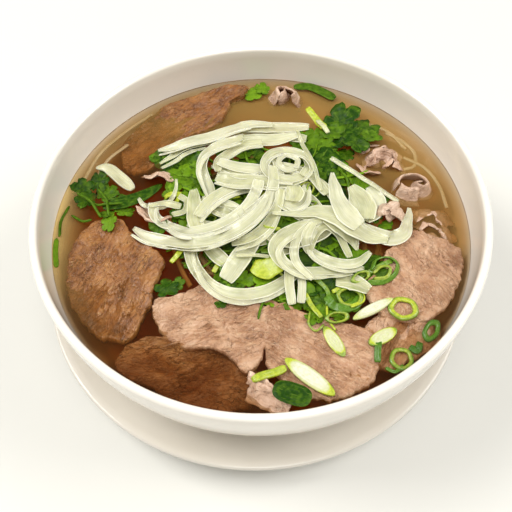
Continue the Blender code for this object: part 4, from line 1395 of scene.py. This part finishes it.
# Each strip as the camera sees it on HEAP_PLANE, from the lowest to the highest: path, widths, roll.
ONION_STRIPS = [
    ([(-30, 6), (-12, -2), (6, 6), (20, -4), (34, -8)], 6, 0.2),
    ([(-24, 30), (-8, 22), (8, 28), (24, 22), (34, 8)], 6, -0.2),
    ([(-36, -8), (-18, -10), (0, 2), (10, 18), (8, 36)], 6, 0.2),
    ([(40, -6), (30, -18), (14, -22), (0, -14)], 6, 0.2),
    ([(-24, 4), (-14, 2), (-8, -6), (-12, -18)], 5, 0.2),
    ([(35, -44), (43, -45), (50, -49)], (8, 11, 7), 0.0),
    ([(-14, 50), (0, 49), (14, 48), (26, 46)], 7, 0.0),
    ([(-62, 8), (-58, 3), (-50, 2), (-45, 7), (-43, 13), (-43, 20)], (2, 3, 3.5, 3, 2, 1.4), 0.4),
    ([(-41, 9), (-37, 5), (-38, -1), (-44, -3)], 4, 0.2),
    # The sheets at the back.
    ([(-14, 47), (-2, 46), (10, 46), (21, 49)], (5, 8, 8, 6), 0.05),
    ([(-53, 31), (-46, 36), (-40, 41), (-30, 45), (-18, 48)], (1.5, 4, 5, 6, 6), 0.1),
    ([(-10, 55), (4, 55), (16, 55), (28, 55)], (8, 9, 8, 5), 0.0),
    ([(-54, 40), (-46, 42), (-36, 46), (-26, 49), (-14, 54), (-4, 57), (8, 57)],
     (2, 6, 8, 9, 9, 8, 5), -0.05),
    # The loops on the left.
    ([(2, 44), (-8, 43), (-16, 37), (-21, 31), (-21, 24)], (5, 6, 6, 5.5, 4), 0.05),
    ([(-8, 48), (-19, 44), (-27, 38), (-30, 29), (-28, 20), (-25, 12), (-27, 3)],
     (5, 7, 7, 7, 6.5, 5.5, 5), 0.1),
    ([(-34, 13), (-33, 4), (-32, -6), (-30, -14)], (5, 8, 9.5, 8), 0.05),
    ([(-31, -4), (-25, 5), (-16, 12), (-6, 15), (4, 14)], (6, 8, 8, 7, 6), 0.0),
    ([(-21, 31), (-12, 27), (-2, 25), (8, 22)], (6, 7, 7, 6), 0.05),
    ([(-22, 21), (-12, 18), (0, 17), (12, 15), (24, 19)], (7, 9, 8, 7, 6), 0.1),
    # The small loop in the middle.
    ([(24, 14), (22, 5), (16, 1), (11, 4), (11, 12)], (5, 7, 8, 7, 6), 0.0),
    ([(17, 14), (17, 8), (16, 4)], (8, 12, 10), 0.0),
    ([(22, 20), (26, 27), (23, 35), (14, 38), (6, 35), (3, 27), (7, 20), (16, 18), (24, 21)], 5.5, 0.1),
    ([(19, 25), (20, 31), (14, 34), (10, 29), (14, 24), (20, 26)], 3.4, 0.15),
    # The bows at the lower left.
    ([(-27, -21), (-22, -27), (-17, -32)], (7, 8.5, 8), 0.1),
    ([(-2, -17), (-9, -28), (-17, -42)], (9, 11, 10), 0.0),
    ([(-12, -28), (-4, -28), (4, -29)], 1.8, 0.1),
    ([(-35, -20), (-33, -31), (-28, -41), (-19, -48), (-9, -50), (2, -48), (12, -43), (17, -37)], 7.5, 0.08),
    ([(-54, 5), (-53, -3), (-47, -9), (-38, -13), (-27, -12), (-16, -7), (-7, 1), (-2, 10), (0, 18)],
     6.5, -0.05),
    ([(-56, 3), (-48, 4), (-40, 2)], (2, 4.5, 4), 0.2),
    ([(-64, -11), (-57, -16), (-47, -19), (-35, -20), (-24, -19), (-13, -14), (-3, -6), (4, 4), (7, 15),
      (7, 27)], (3, 6.5, 7, 7.5, 8, 8, 8, 7.5, 7, 5), 0.05),
    ([(-14, -21), (-4, -17), (4, -9), (9, 2), (11, 12)], (4, 6, 7, 6, 4), 0.1),
    # The fan at the lower right.
    ([(14, -33), (13, -44), (14, -56)], (6, 5.5, 5.2), 0.05),
    ([(18, -33), (19, -44), (18, -55)], (4, 4.6, 4.4), -0.05),
    ([(30, -8), (19, -12), (10, -18), (7, -25), (11, -33), (20, -38), (32, -38), (42, -37), (49, -38)],
     (4, 6, 8, 8, 7, 6, 5, 5, 4), 0.05),
    ([(25, -10), (19, -16), (16, -24), (17, -33), (24, -42)], (4, 5, 5, 4.5, 3.4), 0.1),
    ([(23, -26), (26, -17), (32, -12), (38, -17), (41, -25), (43, -31)], (4, 5, 5, 5, 4.4, 4), 0.1),
    ([(26, -9), (22, -17), (23, -25), (30, -31), (39, -34), (47, -33), (53, -28)],
     (4, 6, 6, 5.5, 5.5, 5, 3), 0.1),
    # The broad piece on the right.
    ([(56, 12), (60, 4), (58, -4), (52, -9)], (5, 10, 11, 8), 0.0),
    ([(47, 13), (50, 7), (52, 0), (52, -8)], (6, 13, 15, 12), 0.0),
    ([(46, -10), (54, -17), (63, -20), (70, -17), (75, -8), (76, -2)], (8, 11, 11, 9, 6, 2.5), 0.05),
    ([(32, -6), (40, -12), (45, -20), (47, -27)], (8, 12, 9, 2), 0.0),
    ([(6, -3), (18, -4), (28, -3), (38, -6), (46, -13), (54, -19), (62, -21)], (2, 4, 9, 14, 14, 11, 6), 0.0),
    ([(38, 22), (38, 14), (39, 5), (42, -4), (48, -12)], (2.5, 7.5, 9.5, 12, 10), 0.0),
    # Thin strips.
    ([(21, 53), (24, 41), (28, 27), (31, 10)], 2.4, 0.4),
    ([(38, 32), (49, 22), (61, 11), (71, 2)], 2.6, 0.4),
]


def make_onion():
    strips = Gathered()
    ground.heap_up(6, 8, 52, 42, 8.0, 1.0)
    dice = random.Random(21)
    for _ in range(ONION_COUNT):
        turn, radius, span = dice.uniform(0, 2 * math.pi), dice.uniform(14, 34), dice.uniform(0.9, 1.9)
        cx, cy = dice.uniform(-6, 10), dice.uniform(-6, 12)
        path = [
            (cx + radius * math.cos(turn + span * t), cy + 0.8 * radius * math.sin(turn + span * t))
            for t in (0, 0.25, 0.5, 0.75, 1)
        ]
        lay_strip(strips, path, (2.5, 4.5, 5, 3.5), THIN_ONION_THICK, 0.1, roll=dice.uniform(-0.5, 0.5),
                  seed=radius, stiff=6, section=ONION_SECTION, taper=0.8, arch=1.0)
    for k, (path, width, roll) in enumerate(ONION_STRIPS):
        shade = 0.1 + 0.5 * ((k * 7) % 5) / 4
        given = 0.88 * np.atleast_1d(np.asarray(width, float))
        lay_strip(strips, path, given, ONION_THICK, shade, seen=True, roll=roll, seed=k * 1.3, stiff=6,
                  section=ONION_SECTION, taper=0.8, spacing=1.0, arch=1.5)
        if 4.5 < given.max() < 8 and len(path) > 4:
            # A thinner strip runs beside it, as two layers of the same onion do.
            beside = np.array(path[:-1]) + (dice.uniform(-2, 2), dice.uniform(-4.5, -2.5))
            lay_strip(strips, beside, (1.6, 2.8, 2.6, 1.4), THIN_ONION_THICK, shade + 0.3, seen=True,
                      roll=dice.uniform(-0.5, 0.5), seed=k * 2.1, stiff=5, section=ONION_SECTION, taper=0.8,
                      spacing=1.0, arch=1.2)
    strips.make("onion_strips", ONION, ["onion_heap"])

    bit = Gathered()
    curled(bit, [(60, 0), (61, 5), (65, 7), (69, 4), (68, -1)], 7, (1.5, 7.5, -0.8), 1.6, 51, 1.2, 0.25)
    curled(bit, [(63, 0), (66, 3), (69, 8)], 6, (2.0, 7.0, 0.7), 1.5, 52, 1.3, 0.3)
    bit.make("rare_bit_top", BEEF_RARE)

    loose = Gathered()
    lay_strip(loose, [(-86, 37), (-80, 36), (-73, 31), (-66, 24)], (3, 7, 7.5, 6), 2.2, 0.35, lift=0.6,
              stiff=9, seed=3)
    loose.make("onion_loose", ONION, ["onion_piece_left"])


# ---------------------------------------------------------------- camera, floor and lights


def make_camera():
    back = Vector(CAMERA_FROM_RIM).normalized()
    forward, right = -back, Vector((1, 0, 0))
    up = right.cross(forward)
    pitch, yaw, roll = (math.radians(a) for a in (PITCH, YAW, ROLL))
    forward, up = (
        math.cos(pitch) * forward + math.sin(pitch) * up,
        -math.sin(pitch) * forward + math.cos(pitch) * up,
    )
    forward, right = (
        math.cos(yaw) * forward + math.sin(yaw) * right,
        -math.sin(yaw) * forward + math.cos(yaw) * right,
    )
    right, up = (
        math.cos(roll) * right + math.sin(roll) * up,
        -math.sin(roll) * right + math.cos(roll) * up,
    )
    data = bpy.data.cameras.new("camera")
    data.sensor_width = 36.0
    data.lens = 18.0 / math.tan(math.radians(FIELD_OF_VIEW / 2))
    data.clip_start, data.clip_end = 0.02, 20.0
    camera = bpy.data.objects.new("camera", data)
    bpy.context.scene.collection.objects.link(camera)
    turn = Matrix((right, up, -forward)).transposed().to_4x4()
    rim = Vector((AXIS[0], AXIS[1], RIM_Z)) * MM
    camera.matrix_world = Matrix.Translation(rim + Vector(CAMERA_FROM_RIM) * MM) @ turn
    bpy.context.scene.camera = camera


def make_floor():
    paint = Paint("floor_paint")
    cloud = paint.noise(paint.place(0.3), 2.0)
    base = paint.ramp(cloud, [(0.3, (0.70, 0.695, 0.655)), (0.7, (0.72, 0.715, 0.675))])
    shader = paint.add("ShaderNodeBsdfPrincipled", {"Base Color": base, "Roughness": 0.9})
    material = paint.finish(shader.outputs[0])
    mesh = bpy.data.meshes.new("floor")
    s = 6.0
    mesh.from_pydata([(-s, -s, 0), (s, -s, 0), (s, s, 0), (-s, s, 0)], [], [(0, 1, 2, 3)])
    mesh.materials.append(material)
    floor = bpy.data.objects.new("floor", mesh)
    bpy.context.scene.collection.objects.link(floor)


def make_light(name, at, size, power, colour):
    data = bpy.data.lights.new(name, "AREA")
    data.shape = "RECTANGLE"
    data.size, data.size_y = size
    data.energy = power
    data.color = colour
    lamp = bpy.data.objects.new(name, data)
    lamp.location = at
    lamp.rotation_euler = (-Vector(at)).to_track_quat("-Z", "Y").to_euler()
    bpy.context.scene.collection.objects.link(lamp)


def make_lights():
    world = bpy.data.worlds.new("studio")
    bpy.context.scene.world = world
    world.use_nodes = True
    back = world.node_tree.nodes["Background"]
    back.inputs["Color"].default_value = (1.0, 0.985, 0.95, 1.0)
    back.inputs["Strength"].default_value = 0.33
    make_light("key", (-1.3, 0.3, 1.7), (1.0, 1.0), 33.0, (1.0, 0.985, 0.955))
    make_light("fill", (1.4, 0.1, 1.5), (1.0, 1.0), 21.0, (1.0, 0.985, 0.96))
    make_light("front", (0.1, -0.75, 2.1), (1.0, 1.0), 19.5, (1.0, 0.99, 0.97))
    bpy.context.scene.view_settings.view_transform = "Standard"


make_camera()
make_floor()
make_lights()
make_underplate()
make_bowl()
make_noodles()
make_slices()
make_scraps()
make_herb_core()
herb_dice = make_herbs()
make_scallions(herb_dice)
make_onion()
make_single_leaves(herb_dice)
make_broth()
